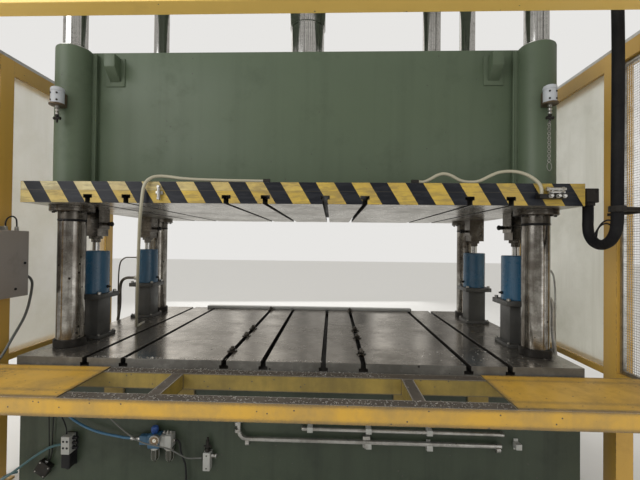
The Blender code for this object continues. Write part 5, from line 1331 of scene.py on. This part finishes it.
@dataclass
class ControlBox:
    """Sheet box on the left post with its door, lock plates, glands and terminals."""

    low: Point = (-1.8997, -0.908, 1.205)
    high: Point = (-1.8117, -0.528, 1.629)
    door_face: float = -1.797

    def build(self) -> None:
        """Build the box and its door."""
        self.box()
        self.door()
        self.glands()

    def box(self) -> None:
        """Open box with a folded rim, its mounting plate and terminal rails."""
        (left, front, low), (right, rear, high) = self.low, self.high
        shape = Shape().box(self.low, self.high, 0.006, segments=3)
        faces = [face for face in shape.mesh.faces if face.normal.x > 0.99]
        bmesh.ops.inset_region(shape.mesh, faces=faces, thickness=0.006, depth=0.0)
        bmesh.ops.inset_region(shape.mesh, faces=faces, thickness=0.0001, depth=-(right - left - 0.004))
        shape.stand_in("control_box", "sheet", BOX_GREY)
        back = left + 0.004
        plate = Shape().box(
            (back, front + 0.022, low + 0.022), (back + 0.003, rear - 0.022, high - 0.022), 0.001)
        blocks = Shape()
        for height in (low + 0.11, low + 0.21, low + 0.31):
            plate.box((back + 0.003, front + 0.035, height - 0.017),
                      (back + 0.01, rear - 0.035, height + 0.017), 0.001)
            for step in range(22):
                start = front + 0.045 + step * 0.013
                blocks.box((back + 0.009, start, height - 0.021),
                           (back + 0.052, start + 0.0115, height + 0.021), 0.001, segments=1)
        plate.piece("control_box_plate", ZINC)
        blocks.piece("control_box_terminals", CASTING, "grey paint")

    def door(self) -> None:
        """Door of folded sheet with two locks."""
        low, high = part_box("control_box_door")
        start = self.high[0] + GAP
        shape = Shape().box((start, self.low[1], self.low[2]), (self.door_face, self.high[1], self.high[2]),
                            0.005, segments=4)
        for level in (0.28, 0.72):
            height = low[2] + level * (high[2] - low[2])
            hinge = [(start + 0.009, low[1] + 0.0085, height + half) for half in (-0.028, 0.028)]
            shape.bar(*hinge, 0.008, 20, 0.001)
        shape.stand_in("control_box_door", "sheet", BOX_GREY, body=Body.DOOR)
        locks, turns = Shape(), Shape()
        for y, z, half in ((-0.562, 1.4195, 0.016), (-0.628, 1.2577, 0.011)):
            locks.box((self.door_face - 0.0004, y - half, z - 1.5 * half),
                      (self.door_face + 0.0022, y + half, z + 1.5 * half), 0.0008)
            turns.turned([(0, 0.003), (0.0035, 0.003), (0.0035, 0.0052), (0.0075, 0.0052), (0.0082, 0.0045),
                          (0.0082, 0), (0, 0)], (self.door_face + 0.0015, y, z), RIGHT, 24)
        locks.piece("control_box_lock_plates", BOX_GREY, "zinc", Body.DOOR)
        turns.piece("control_box_lock_barrels", RUBBER, body=Body.DOOR)

    def glands(self) -> None:
        """Cable glands on the box's top and rear side, with a short looped lead between the two on top."""
        metal = Shape()
        top, x = self.high[2], -1.856
        for y in (-0.64, -0.56):
            metal.nut((x, y, top - 0.001), UP, 0.0135, 0.01)
            metal.turned([(0, 0), (0.0105, 0), (0.0115, 0.002), (0.0115, 0.012), (0.0085, 0.02), (0, 0.02)],
                         (x, y, top + 0.008), steps=24)
        metal.box((x - 0.02, -0.7, top - 0.001), (x + 0.02, -0.662, top + 0.026), 0.004)
        metal.nut((-1.85, -0.5285, 1.33), (0, 1, 0), 0.0145, 0.01)
        metal.turned([(0, 0), (0.012, 0), (0.0125, 0.01), (0.0095, 0.018), (0, 0.018)], (-1.85, -0.519, 1.33),
                     (0, 1, 0), 24)
        metal.piece("control_box_glands", ZINC)
        loop = [(x, -0.64, top + 0.026), (x, -0.64, top + 0.05), (x + 0.004, -0.63, top + 0.078),
                (x + 0.008, -0.6, top + 0.092), (x + 0.004, -0.57, top + 0.078), (x, -0.56, top + 0.05),
                (x, -0.56, top + 0.026)]
        Shape().pipe(loop, 0.0045).piece("control_box_loop", RUBBER)


# Lines on the bed: name, finish, radius and the route as place across, distance in front, and height

BED_LINES = (
    ("air_line_teal", TEAL_HOSE, 0.0068,
     ((-1.3005, 0.034, 0.408), (-1.33, 0.036, 0.407), (-1.38, 0.04, 0.392), (-1.45, 0.044, 0.35),
      (-1.53, 0.044, 0.292), (-1.61, 0.04, 0.232), (-1.675, 0.02, 0.188), (-1.705, -0.02, 0.172),
      (-1.7, -0.06, 0.168), (-1.672, -0.08, 0.168), (-1.6495, -0.08, 0.168))),
    ("air_line_blue", BLUE_HOSE, 0.0068,
     ((-1.33, 0, 0.64), (-1.33, 0.02, 0.64), (-1.315, 0.032, 0.61), (-1.26, 0.034, 0.56),
      (-1.18, 0.036, 0.515), (-1.09, 0.036, 0.484), (-1.0, 0.032, 0.465), (-0.95, 0.03, 0.456),
      (-0.912, 0.029, 0.4535))),
    ("air_line_grey", GREY_CABLE, 0.0038,
     ((-1.08, 0, 0.655), (-1.08, 0.03, 0.65), (-1.05, 0.066, 0.62), (-0.99, 0.086, 0.58),
      (-0.92, 0.092, 0.527), (-0.86, 0.093, 0.488), (-0.8, 0.096, 0.464), (-0.73, 0.094, 0.45),
      (-0.665, 0.084, 0.428), (-0.62, 0.066, 0.392), (-0.585, 0.044, 0.36), (-0.545, 0.026, 0.35),
      (-0.507, 0.023, 0.35))),
    ("valve_lead_up", RUBBER, 0.0034,
     ((-1.29, 0.03, 0.464), (-1.29, 0.03, 0.49), (-1.305, 0.028, 0.53), (-1.335, 0.022, 0.58),
      (-1.352, 0.018, 0.64), (-1.356, 0.012, 0.7), (-1.356, 0, 0.712))),
    ("junction_lead_left", RUBBER, 0.0028,
     ((-1.411, 0.0175, 0.3), (-1.402, 0.0175, 0.318), (-1.4, 0.016, 0.36), (-1.404, 0.014, 0.45),
      (-1.408, 0.012, 0.56), (-1.408, 0.01, 0.68), (-1.408, 0, 0.7))),
    ("junction_lead_right", RUBBER, 0.0028,
     ((-1.405, 0.012, 0.3), (-1.394, 0.012, 0.316), (-1.386, 0.012, 0.36), (-1.385, 0.012, 0.45),
      (-1.38, 0.012, 0.56), (-1.378, 0.01, 0.68), (-1.378, 0, 0.7))),
    ("air_line_outlet", RUBBER, 0.005,
     ((-0.66, 0.032, 0.45), (-0.644, 0.032, 0.448), (-0.632, 0.032, 0.43), (-0.628, 0.03, 0.39),
      (-0.616, 0.028, 0.35), (-0.602, 0.026, 0.31), (-0.598, 0.024, 0.24), (-0.598, 0.02, 0.16),
      (-0.598, 0.01, 0.125), (-0.598, 0, 0.12))),
)


@dataclass
class BedFittings:
    """Air and electric fittings on the front of the bed."""

    face: float = -0.8033
    gauge: tuple[float, float] = (-0.757, 0.47)

    def build(self) -> None:
        """Build each fitting and the short lines between them."""
        self.solenoid()
        self.junction()
        self.air_unit()
        self.shutoff()
        self.conduit()
        self.lines()

    def solenoid(self) -> None:
        """Solenoid valve: pale block over a dark coil."""
        face, mid = self.face, self.face - 0.03
        block = Shape().box((-1.299, face - 0.06, 0.366), (-1.251, face - 0.006, 0.465), 0.0025)
        block.stand_in("solenoid_valve", "block", CASTING, "zinc")
        dark = Shape().box((-1.3, face - 0.0585, 0.286), (-1.248, face - 0.004, 0.3655), 0.007, segments=3)
        dark.box((-1.302, face - 0.006, 0.284), (-1.246, face, 0.466), 0.001)
        for x, z in ((-1.286, 0.438), (-1.264, 0.438), (-1.286, 0.402), (-1.264, 0.402)):
            dark.turned([(0, 0), (0.0062, 0), (0.0062, 0.001), (0.0048, 0.0014), (0, 0.0006)],
                        (x, face - 0.0598, z), FRONT, 20)
        dark.bar((-1.275, mid, 0.272), (-1.275, mid, 0.288), 0.013, 24, 0.002)
        for z in (0.448, 0.42, 0.392):
            dark.nut((-1.2515, mid, z), RIGHT, 0.0105, 0.01)
            dark.bar((-1.243, mid, z), (-1.222, mid, z), 0.0078, 20, 0.0015)
        dark.piece("solenoid_valve_coil", RUBBER)

    def junction(self) -> None:
        """Small junction box hung askew, with its lid and screws."""
        turn = Matrix.Rotation(math.radians(32), 3, "Y")
        centre = Vector((-1.428, self.face - 0.0175, 0.262))
        shape = Shape()
        for half, start, end, edge in ((0.0365, 0.0175, -0.0115, 0.004), (0.0375, -0.0115, -0.0175, 0.002)):
            middle = centre + Vector((0, (start + end) / 2, 0))
            size = Vector((half, (start - end) / 2, half))
            shape.box(tuple(middle - size), tuple(middle + size), edge, turn)
        shape.stand_in("junction_box", "case", DARK_STEEL)
        screws = Shape()
        for across in (-0.028, 0.028):
            for up in (-0.028, 0.028):
                spot = centre + turn @ Vector((across, -0.0172, up))
                screws.screw(tuple(spot), FRONT, 0.0038, 0.0025)
        gland = centre + turn @ Vector((-0.006, 0, 0.0365))
        screws.nut(tuple(gland), tuple(turn @ Vector((0, 0, 1))), 0.009, 0.01)
        screws.piece("junction_box_screws", ZINC)

    def air_unit(self) -> None:
        """Air service unit: regulator with its gauge, lubricator block, bowls and fittings."""
        face, mid = self.face, self.face - 0.032
        high, low = 0.4872, 0.4125
        body = Shape().box((-0.709, face - 0.062, low), (-0.671, face - 0.002, high), 0.004)
        body.box((-0.7395, face - 0.056, low + 0.008), (-0.7085, face - 0.006, high - 0.006), 0.004)
        body.stand_in("air_service_unit", "body", CASTING, "zinc")
        left = Shape().box((-0.807, face - 0.06, low), (-0.739, face - 0.002, high), 0.006, segments=3)
        left.box((-0.86, face - 0.046, low + 0.012), (-0.806, face - 0.012, high - 0.012), 0.004)
        left.box((-0.78, face - 0.003, low + 0.014), (-0.7, face, high - 0.012), 0.001)
        left.piece("air_service_unit_regulator", BLUE)
        bowls = Shape()
        for x in (-0.774, -0.69):
            bowls.turned([(0, -0.0845), (0.006, -0.0845), (0.007, -0.078), (0.016, -0.07), (0.0212, -0.06),
                          (0.0222, -0.008), (0.0222, 0.0015), (0, 0.0015)], (x, mid, low), steps=36)
        bowls.piece("air_service_unit_bowls", BOWL, "dark steel")
        cage = Shape()
        for x in (-0.774, -0.69):
            cage.turned(
                [(0.0222, -0.01), (0.0242, -0.01), (0.0242, 0.0), (0.0222, 0.0)], (x, mid, low), steps=36)
            for across, deep in circle(6, 0.0226):
                rib = [(x + share * across, mid + share * deep, low - drop)
                       for share, drop in ((1, 0.008), (1, 0.05), (0.8, 0.067), (0.35, 0.077))]
                cage.pipe(rib, 0.0011, 8)
        across, up = self.gauge
        cage.ring((across, face - 0.0795, up), FRONT, 0.0262, 0.0034, 40, 10)
        cage.bar((across, face - 0.058, up), (across, face - 0.079, up), 0.0262, 40, 0.001)
        for x, size in ((-0.7225, 0.009), (-0.703, 0.01), (-0.684, 0.008)):
            cage.nut((x, mid, high - 0.001), UP, size, 0.009)
            cage.bar((x, mid, high + 0.007), (x, mid, high + 0.007 + size), 0.6 * size, 16, 0.001)
        cage.nut((-0.859, face - 0.029, 0.45), LEFT, 0.0125, 0.014)
        cage.bar((-0.872, face - 0.029, 0.45), (-0.9, face - 0.029, 0.453), 0.009, 20, 0.001)
        cage.nut((-0.899, face - 0.029, 0.453), (-1, 0, 0.1), 0.0115, 0.016)
        cage.nut((-0.6712, mid, 0.45), RIGHT, 0.0125, 0.012)
        cage.piece("air_service_unit_trim", ZINC)
        x, z = self.gauge
        dial = Shape().turned(
            [(0, 0), (0.024, 0), (0.024, 0.0008), (0, 0.001)], (x, face - 0.0788, z), FRONT, 40)
        dial.piece("air_gauge_face", DIAL, "white plastic")
        light = Shape().turned(
            [(0, 0), (0.0105, 0), (0.0105, 0.0006), (0, 0.0008)], (x, face - 0.0797, z), FRONT, 32)
        for step in range(11):
            angle = math.radians(225 - 27 * step)
            start, end = (0.018, 0.0215) if step % 5 else (0.016, 0.0215)
            light.bar((x + start * math.cos(angle), face - 0.0798, z + start * math.sin(angle)),
                      (x + end * math.cos(angle), face - 0.0798, z + end * math.sin(angle)), 0.0006, 6)
        light.piece("air_gauge_marks", DIAL_LIGHT, "white plastic")
        hand = Shape().bar((x, face - 0.0808, z), (x + 0.012, face - 0.0808, z + 0.015), 0.0008, 8)
        hand.piece("air_gauge_hand", RUBBER)
        spot = (-0.778, -0.8333, 0.488)
        knob = Shape().turned([(0, 0), (0.015, 0), (0.0165, 0.002), (0.0172, 0.01), (0.0172, 0.031),
                               (0.015, 0.0365), (0, 0.0378)], spot, steps=48)
        for across, deep in circle(18, 0.0172):
            x, y = spot[0] + across, spot[1] + deep
            knob.bar((x, y, spot[2] + 0.009), (x, y, spot[2] + 0.031), 0.0018, 8, 0.0006)
        knob.stand_in("regulator_knob", "fluted", KNOB_BLUE, "blue paint", Body.KNOB)

    def shutoff(self) -> None:
        """Shutoff valve with a dark stem and T-handle."""
        x, face, mid = -0.477, self.face, self.face - 0.023
        block = Shape().box((-0.497, face - 0.045, 0.29), (-0.457, face, 0.39), 0.003)
        block.stand_in("shutoff_valve", "block", CASTING, "zinc")
        dark = Shape().nut((x, mid, 0.3895), UP, 0.0165, 0.018)
        dark.bar((x, mid, 0.405), (x, mid, 0.45), 0.0095, 24, 0.0015)
        dark.bar((-0.499, mid, 0.418), (-0.455, mid, 0.418), 0.0058, 16, 0.001)
        dark.bar((x, mid, 0.448), (x, mid, 0.468), 0.0055, 16, 0.001)
        dark.nut((-0.496, mid, 0.35), LEFT, 0.0105, 0.012)
        for z in (0.375, 0.305):
            dark.turned(
                [(0, 0), (0.0042, 0), (0.0042, 0.0008), (0, 0.0006)], (x, face - 0.0448, z), FRONT, 18)
        dark.piece("shutoff_valve_stem", DARK_STEEL)
        side = Shape().nut((-0.4575, mid, 0.366), RIGHT, 0.0125, 0.012)
        side.bar((-0.447, mid, 0.366), (-0.432, mid, 0.366), 0.0085, 20, 0.0015)
        side.nut((-0.434, mid, 0.366), RIGHT, 0.0115, 0.008)
        side.piece("shutoff_valve_fitting", ZINC)

    def conduit(self) -> None:
        """Electric conduit with its elbow, couplings and clips, and a second pipe above it."""
        refined("conduit", "pipe", "zinc", 0.0008, (ZINC,))
        y = self.face - 0.026
        rings = Shape()
        for z in (0.505, 0.545, 0.59):
            rings.turned(
                [(0.0122, 0), (0.0165, 0.001), (0.0165, 0.018), (0.0122, 0.019)], (-0.308, y, z), steps=28)
        for x in (-0.262, 0.4, 1.12):
            rings.turned(
                [(0.0122, 0), (0.0165, 0.001), (0.0165, 0.022), (0.0122, 0.023)], (x, y, 0.45), RIGHT, 28)
        rings.piece("conduit_couplings", ZINC)
        upper = [(0.06, self.face + 0.001, 0.532), (0.06, y + 0.006, 0.532), (0.068, y, 0.532),
                 (0.12, y, 0.532), (0.4, y, 0.532), (0.8, y, 0.532), (1.1, y, 0.532), (1.15, y, 0.53),
                 (1.16, y + 0.006, 0.528), (1.162, self.face + 0.001, 0.528)]
        Shape().pipe(upper, 0.0105, 16).piece("upper_pipe", ZINC)
        clips = Shape()
        for x, z in ((0.1, 0.532), (0.425, 0.532), (0.76, 0.532), (0.425, 0.45), (0.76, 0.45), (1.24, 0.47)):
            clips.box((x - 0.016, y - 0.014, z - 0.015), (x + 0.016, self.face, z + 0.015), 0.002)
            clips.box((x - 0.012, self.face - 0.003, z - 0.03), (x + 0.012, self.face, z + 0.03), 0.001)
        clips.piece("pipe_clips", CASTING, "zinc")

    def lines(self) -> None:
        """Short air lines and leads between the fittings, each held at both its ends."""
        face = self.face
        for name, finish, radius, route in BED_LINES:
            points = [(x, face - out, z) for x, out, z in route]
            Shape().pipe(points, radius).piece(name, finish, "black rubber")
        ends = Shape()
        ends.nut((-1.2985, face - 0.034, 0.408), LEFT, 0.0115, 0.012)
        for x, z, size in ((-1.33, 0.64, 0.012), (-1.08, 0.655, 0.009), (-1.356, 0.712, 0.009),
                           (-1.408, 0.7, 0.008), (-1.378, 0.7, 0.008), (-0.598, 0.12, 0.011)):
            ends.nut((x, face + 0.001, z), FRONT, size, 0.011)
        ends.nut((-1.6495, face + 0.08, 0.168), LEFT, 0.0115, 0.012)
        ends.piece("line_end_fittings", ZINC)


@dataclass
class Hoses:
    """Main hose bundle and the two thin air hoses."""

    main_radius: float = 0.0275
    thin_radius: float = 0.009
    cable_radius: float = 0.008

    def build(self) -> None:
        """Build each hose along its route."""
        main = self.tube("main_hose_route", MAIN_HOSE_ROUTE, self.main_radius, SLEEVING)
        mesh = bpy.data.meshes.new_from_object(main.evaluated_get(bpy.context.evaluated_depsgraph_get()))
        bpy.data.objects.remove(main)
        main = link("main_hose_bundle", mesh)
        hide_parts("main_hose")
        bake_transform(main)
        route_length(MAIN_HOSE_ROUTE)
        [tuple(point) for point in smooth_points(MAIN_HOSE_ROUTE, 6)]
        self.inner_loops()
        self.box_cable()
        for name, route, node in (("thin_hose_left_line", LEFT_HOSE_ROUTE, "thin_hose_left"),
                                  ("thin_hose_right_line", RIGHT_HOSE_ROUTE, "thin_hose_right")):
            line = self.tube(name, route, self.thin_radius, CREAM_HOSE)
            settle(line, "cream hose", Body.RAM, (node,))
            extra = [self.coupling()] if node.endswith("left") else []
            route_length(route)

    def box_cable(self) -> None:
        """Grey cable that hangs from the control box's side and goes into the guard's sill."""
        cable = self.tube("control_box_cable", BOX_CABLE_ROUTE, self.cable_radius, GREY_CABLE)
        settle(cable, "black rubber", Body.ROOT)
        route_length(BOX_CABLE_ROUTE)

    @staticmethod
    def inner_loops() -> None:
        """Two thin leads that leave the bundle and return to it inside its loop."""
        shape = Shape()
        for shift, height in ((0.0, 0.0), (0.012, 0.018)):
            shape.pipe([(1.662 + shift, -0.8, 1.6), (1.662 + shift, -0.812, 1.64 + height),
                        (1.66 + shift, -0.846, 1.676 + height), (1.659 + shift, -0.885, 1.69 + height),
                        (1.658 + shift, -0.918, 1.684 + height), (1.657 + shift, -0.942, 1.664 + height)],
                       0.0042, 8)
        shape.piece("bundle_inner_leads", RUBBER, body=Body.RAM)

    def coupling(self) -> Object:
        """Return the quick coupling on the left hose's free end."""
        end, before = Vector(LEFT_HOSE_ROUTE[-1]), Vector(LEFT_HOSE_ROUTE[-2])
        profile = [(0, -0.016), (0.0102, -0.016), (0.0115, -0.014), (0.0115, 0.004), (0.0095, 0.006),
                   (0.0095, 0.012), (0.0108, 0.013), (0.0108, 0.03), (0.0075, 0.032), (0.0075, 0.044),
                   (0.0045, 0.045), (0.0045, 0.03), (0, 0.03)]
        shape = Shape().turned(profile, tuple(end), tuple(end - before), 36)
        return shape.piece("thin_hose_left_coupling", ZINC, body=Body.RAM)

    @staticmethod
    def tube(name: str, route: Sequence[Point], radius: float, finish: Finish) -> Object:
        """Return a smooth round tube through the points of a route."""
        curve = round_curve(name, route, radius, 5)
        curve.materials.append(finish.material())
        return link(name, curve)


def smooth_points(route: Sequence[Point], fullness: int) -> list[Vector]:
    """Return points read from the Catmull-Rom curve through a route.

    Args:
        route: The route's own points.
        fullness: Points read on each stretch.

    Returns:
        The points, the route's ends among them.
    """
    knots = [Vector(point) for point in route]
    knots = [2 * knots[0] - knots[1], *knots, 2 * knots[-1] - knots[-2]]
    points = []
    for index in range(1, len(knots) - 2):
        before, start, end, after = knots[index - 1:index + 3]
        for step in range(fullness):
            share = step / fullness
            points.append(0.5 * (2 * start + (end - before) * share
                                 + (2 * before - 5 * start + 4 * end - after) * share ** 2
                                 + (3 * start - before - 3 * end + after) * share ** 3))
    points.append(knots[-2])
    return points


def route_length(route: Sequence[Point]) -> float:
    """Return the length of the smooth curve through a route."""
    points = smooth_points(route, 6)
    return sum((end - start).length for start, end in zip(points, points[1:]))


MAIN_HOSE_ROUTE = (
    (1.67, -0.743, 1.8147), (1.67, -0.743, 1.77), (1.67, -0.743, 1.72), (1.669, -0.744, 1.682),
    (1.667, -0.758, 1.6325), (1.665, -0.7985, 1.592), (1.663, -0.854, 1.577), (1.661, -0.9095, 1.592),
    (1.66, -0.95, 1.6325), (1.66, -0.965, 1.69), (1.66, -0.966, 1.76), (1.66, -0.966, 1.9),
    (1.66, -0.97, 2.6), (1.66, -0.955, 3.0), (1.66, -0.918, 3.3), (1.66, -0.862, 3.54),
    (1.66, -0.806, 3.72), (1.66, -0.78, 3.83), (1.66, -0.78, 3.8897),
)
LEFT_HOSE_ROUTE = (
    (-0.1904, -0.783, 1.925), (-0.23, -0.783, 1.925), (-0.4, -0.786, 1.927), (-0.56, -0.792, 1.93),
    (-0.66, -0.799, 1.935), (-0.73, -0.806, 1.943), (-0.78, -0.815, 1.945), (-0.82, -0.83, 1.934),
    (-0.849, -0.842, 1.905), (-0.861, -0.848, 1.862), (-0.866, -0.85, 1.805), (-0.873, -0.846, 1.755),
    (-0.886, -0.829, 1.71), (-0.908, -0.794, 1.656), (-0.976, -0.676, 1.506), (-1.042, -0.56, 1.362),
    (-1.108, -0.444, 1.219), (-1.174, -0.327, 1.081), (-1.222, -0.241, 0.99), (-1.25, -0.19, 0.946),
    (-1.273, -0.143, 0.92), (-1.292, -0.095, 0.9115), (-1.306, -0.045, 0.9108), (-1.316, 0.01, 0.9108),
)
BOX_CABLE_ROUTE = (
    (-1.85, -0.501, 1.33), (-1.85, -0.484, 1.3276), (-1.85, -0.468, 1.321), (-1.85, -0.4545, 1.31),
    (-1.85, -0.444, 1.296), (-1.85, -0.438, 1.279), (-1.85, -0.437, 1.258), (-1.85, -0.442, 1.218),
    (-1.85, -0.452, 1.17), (-1.85, -0.469, 1.11), (-1.85, -0.496, 1.05), (-1.85, -0.531, 1.0),
    (-1.85, -0.568, 0.952), (-1.851, -0.6, 0.908), (-1.854, -0.626, 0.868), (-1.861, -0.644, 0.835),
    (-1.874, -0.656, 0.806),
)
RIGHT_HOSE_ROUTE = (
    (0.7004, -0.783, 1.925), (0.73, -0.783, 1.925), (0.765, -0.785, 1.94), (0.805, -0.786, 1.963),
    (0.845, -0.787, 1.971), (0.885, -0.788, 1.959), (0.935, -0.789, 1.932), (0.99, -0.789, 1.924),
    (1.04, -0.79, 1.931), (1.095, -0.79, 1.958), (1.15, -0.791, 1.98), (1.215, -0.794, 1.985),
    (1.265, -0.803, 1.975), (1.305, -0.82, 1.951), (1.338, -0.838, 1.915), (1.35, -0.8463, 1.88),
    (1.35, -0.8463, 1.8494),
)


@dataclass
class Studio:
    """Camera, lamps, world and floor."""

    place: Point = (0.212, -2.833, 1.565)
    yaw: float = 0.0341
    pitch: float = 0.0112
    roll: float = 0.0112
    focal: float = 357.4
    photo_width: float = 640
    sensor: float = 36.0
    floor_half: float = 30.0

    def build(self) -> None:
        """Set up everything that isn't the press."""
        self.camera()
        self.world()
        self.floor()
        self.lamp("Key", (-4.0, -4.2, 3.9), (-0.3, 0, 1.4), 3.6, 150.0)
        self.lamp("Fill", (4.2, -4.2, 1.6), (0, 0, 1.7), 3.0, 30.0)
        self.lamp("Rear", (-0.6, 5.6, 3.4), (0, 0, 1.2), 7.0, 130.0).visible_glossy = False

    def camera(self) -> None:
        """Place the camera at the photograph's viewpoint."""
        data = bpy.data.cameras.new("Photo camera")
        data.sensor_width = self.sensor
        data.lens = self.focal / self.photo_width * data.sensor_width
        data.clip_start, data.clip_end = 0.05, 200.0
        forward = Vector((-math.sin(self.yaw) * math.cos(self.pitch),
                          math.cos(self.yaw) * math.cos(self.pitch), math.sin(self.pitch)))
        right = Vector((math.cos(self.yaw), math.sin(self.yaw), 0))
        upward = right.cross(forward)
        across = math.cos(self.roll) * right + math.sin(self.roll) * upward
        upright = math.cos(self.roll) * upward - math.sin(self.roll) * right
        matrix = Matrix((across, upright, -forward)).transposed().to_4x4()
        matrix.translation = self.place
        camera = link("Photo camera", data)
        camera.matrix_world = matrix
        bpy.context.scene.camera = camera

    @staticmethod
    def lamp(name: str, place: Point, target: Point, size: float, power: float) -> Object:
        """Return a soft square lamp that looks at a target, its side in metres and its power in watts."""
        data = bpy.data.lights.new(name, "AREA")
        data.size = size
        data.energy = power
        lamp = link(name, data)
        lamp.location = place
        lamp.visible_camera = False
        lamp.rotation_euler = (Vector(target) - Vector(place)).to_track_quat("-Z", "Y").to_euler()
        return lamp

    @staticmethod
    def world() -> None:
        """Light from a pale hall that has brighter and darker upright bands for metal to mirror."""
        world = bpy.data.worlds.new("Hall")
        bpy.context.scene.world = world
        world.use_nodes = True
        graph = Graph(world.node_tree)
        world.node_tree.nodes.clear()
        direction = graph.add("ShaderNodeTexCoord").outputs["Generated"]
        parts = graph.add("ShaderNodeSeparateXYZ", {0: direction}).outputs
        around = graph.math("ARCTAN2", parts["Y"], parts["X"])
        vector = graph.add("ShaderNodeCombineXYZ", {0: around}).outputs[0]
        bands = graph.remap(graph.noise(vector, 13.0, 4.0, 0.6), 0.42, 0.6, 0.06, 1.06)
        level = graph.remap(parts["Z"], -0.4, 0.5, 0.4, 1.0)
        behind = graph.times(
            graph.remap(parts["Y"], 0.3, 0.7, 0.0, 1.0), graph.remap(parts["X"], -0.42, -0.15, 0.9, 0.0))
        hall = graph.plus(graph.times(bands, level), graph.times(behind, 0.75))
        path = graph.add("ShaderNodeLightPath")
        sideways = graph.remap(parts["X"], -0.8, 0.8, 1.0, 0.66)
        lit = graph.add("ShaderNodeBackground", {"Color": (1.0, 0.99, 0.97, 1.0), "Strength": sideways})
        mirrored = graph.add("ShaderNodeBackground", {"Color": (1.0, 0.96, 0.89, 1.0), "Strength": hall})
        seen = graph.add("ShaderNodeBackground", {"Color": (0.8, 0.79, 0.77, 1.0), "Strength": 1.0})
        straight = graph.math("MAXIMUM", path.outputs["Is Camera Ray"], path.outputs["Is Transmission Ray"])
        first = graph.add(
            "ShaderNodeMixShader",
            {0: path.outputs["Is Glossy Ray"], 1: lit.outputs[0], 2: mirrored.outputs[0]})
        last = graph.add("ShaderNodeMixShader", {0: straight, 1: first.outputs[0], 2: seen.outputs[0]})
        graph.add("ShaderNodeOutputWorld", {"Surface": last.outputs[0]})

    def floor(self) -> None:
        """Lay a plain pale floor."""
        shape = bmesh.new()
        bmesh.ops.create_grid(shape, x_segments=1, y_segments=1, size=self.floor_half)
        mesh = bpy.data.meshes.new("Floor")
        shape.to_mesh(mesh)
        shape.free()
        material = bpy.data.materials.new("Pale floor")
        material.use_nodes = True
        shader = material.node_tree.nodes["Principled BSDF"]
        shader.inputs["Base Color"].default_value = (0.72, 0.71, 0.68, 1.0)
        shader.inputs["Roughness"].default_value = 0.8
        mesh.materials.append(material)
        link("Floor", mesh)


def dress_nodes() -> None:
    """Give every node that stays visible the finish of its slot."""
    slots = {part["node"]: part["material_slot"] for part in FRAME["record"]["subparts"]}
    for name, node in FRAME["nodes"].items():
        finish = SLOT_FINISHES[slots[name]]
        for holder in node.material_slots:
            holder.material = finish.material()


def main() -> None:
    """Build the whole press and its studio."""
    logging.basicConfig(level=logging.INFO, format="%(message)s")
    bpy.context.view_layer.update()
    bpy.context.scene.view_settings.view_transform = "Standard"
    Studio().build()
    Hoses().build()
    dress_nodes()
    for assembly in (Columns(), Ram(), Dampers(), Table(), Crown(), Guard(), Platform(), ControlBox(),
                     BedFittings()):
        assembly.build()
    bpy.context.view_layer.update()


if __name__ == "__main__":
    main()
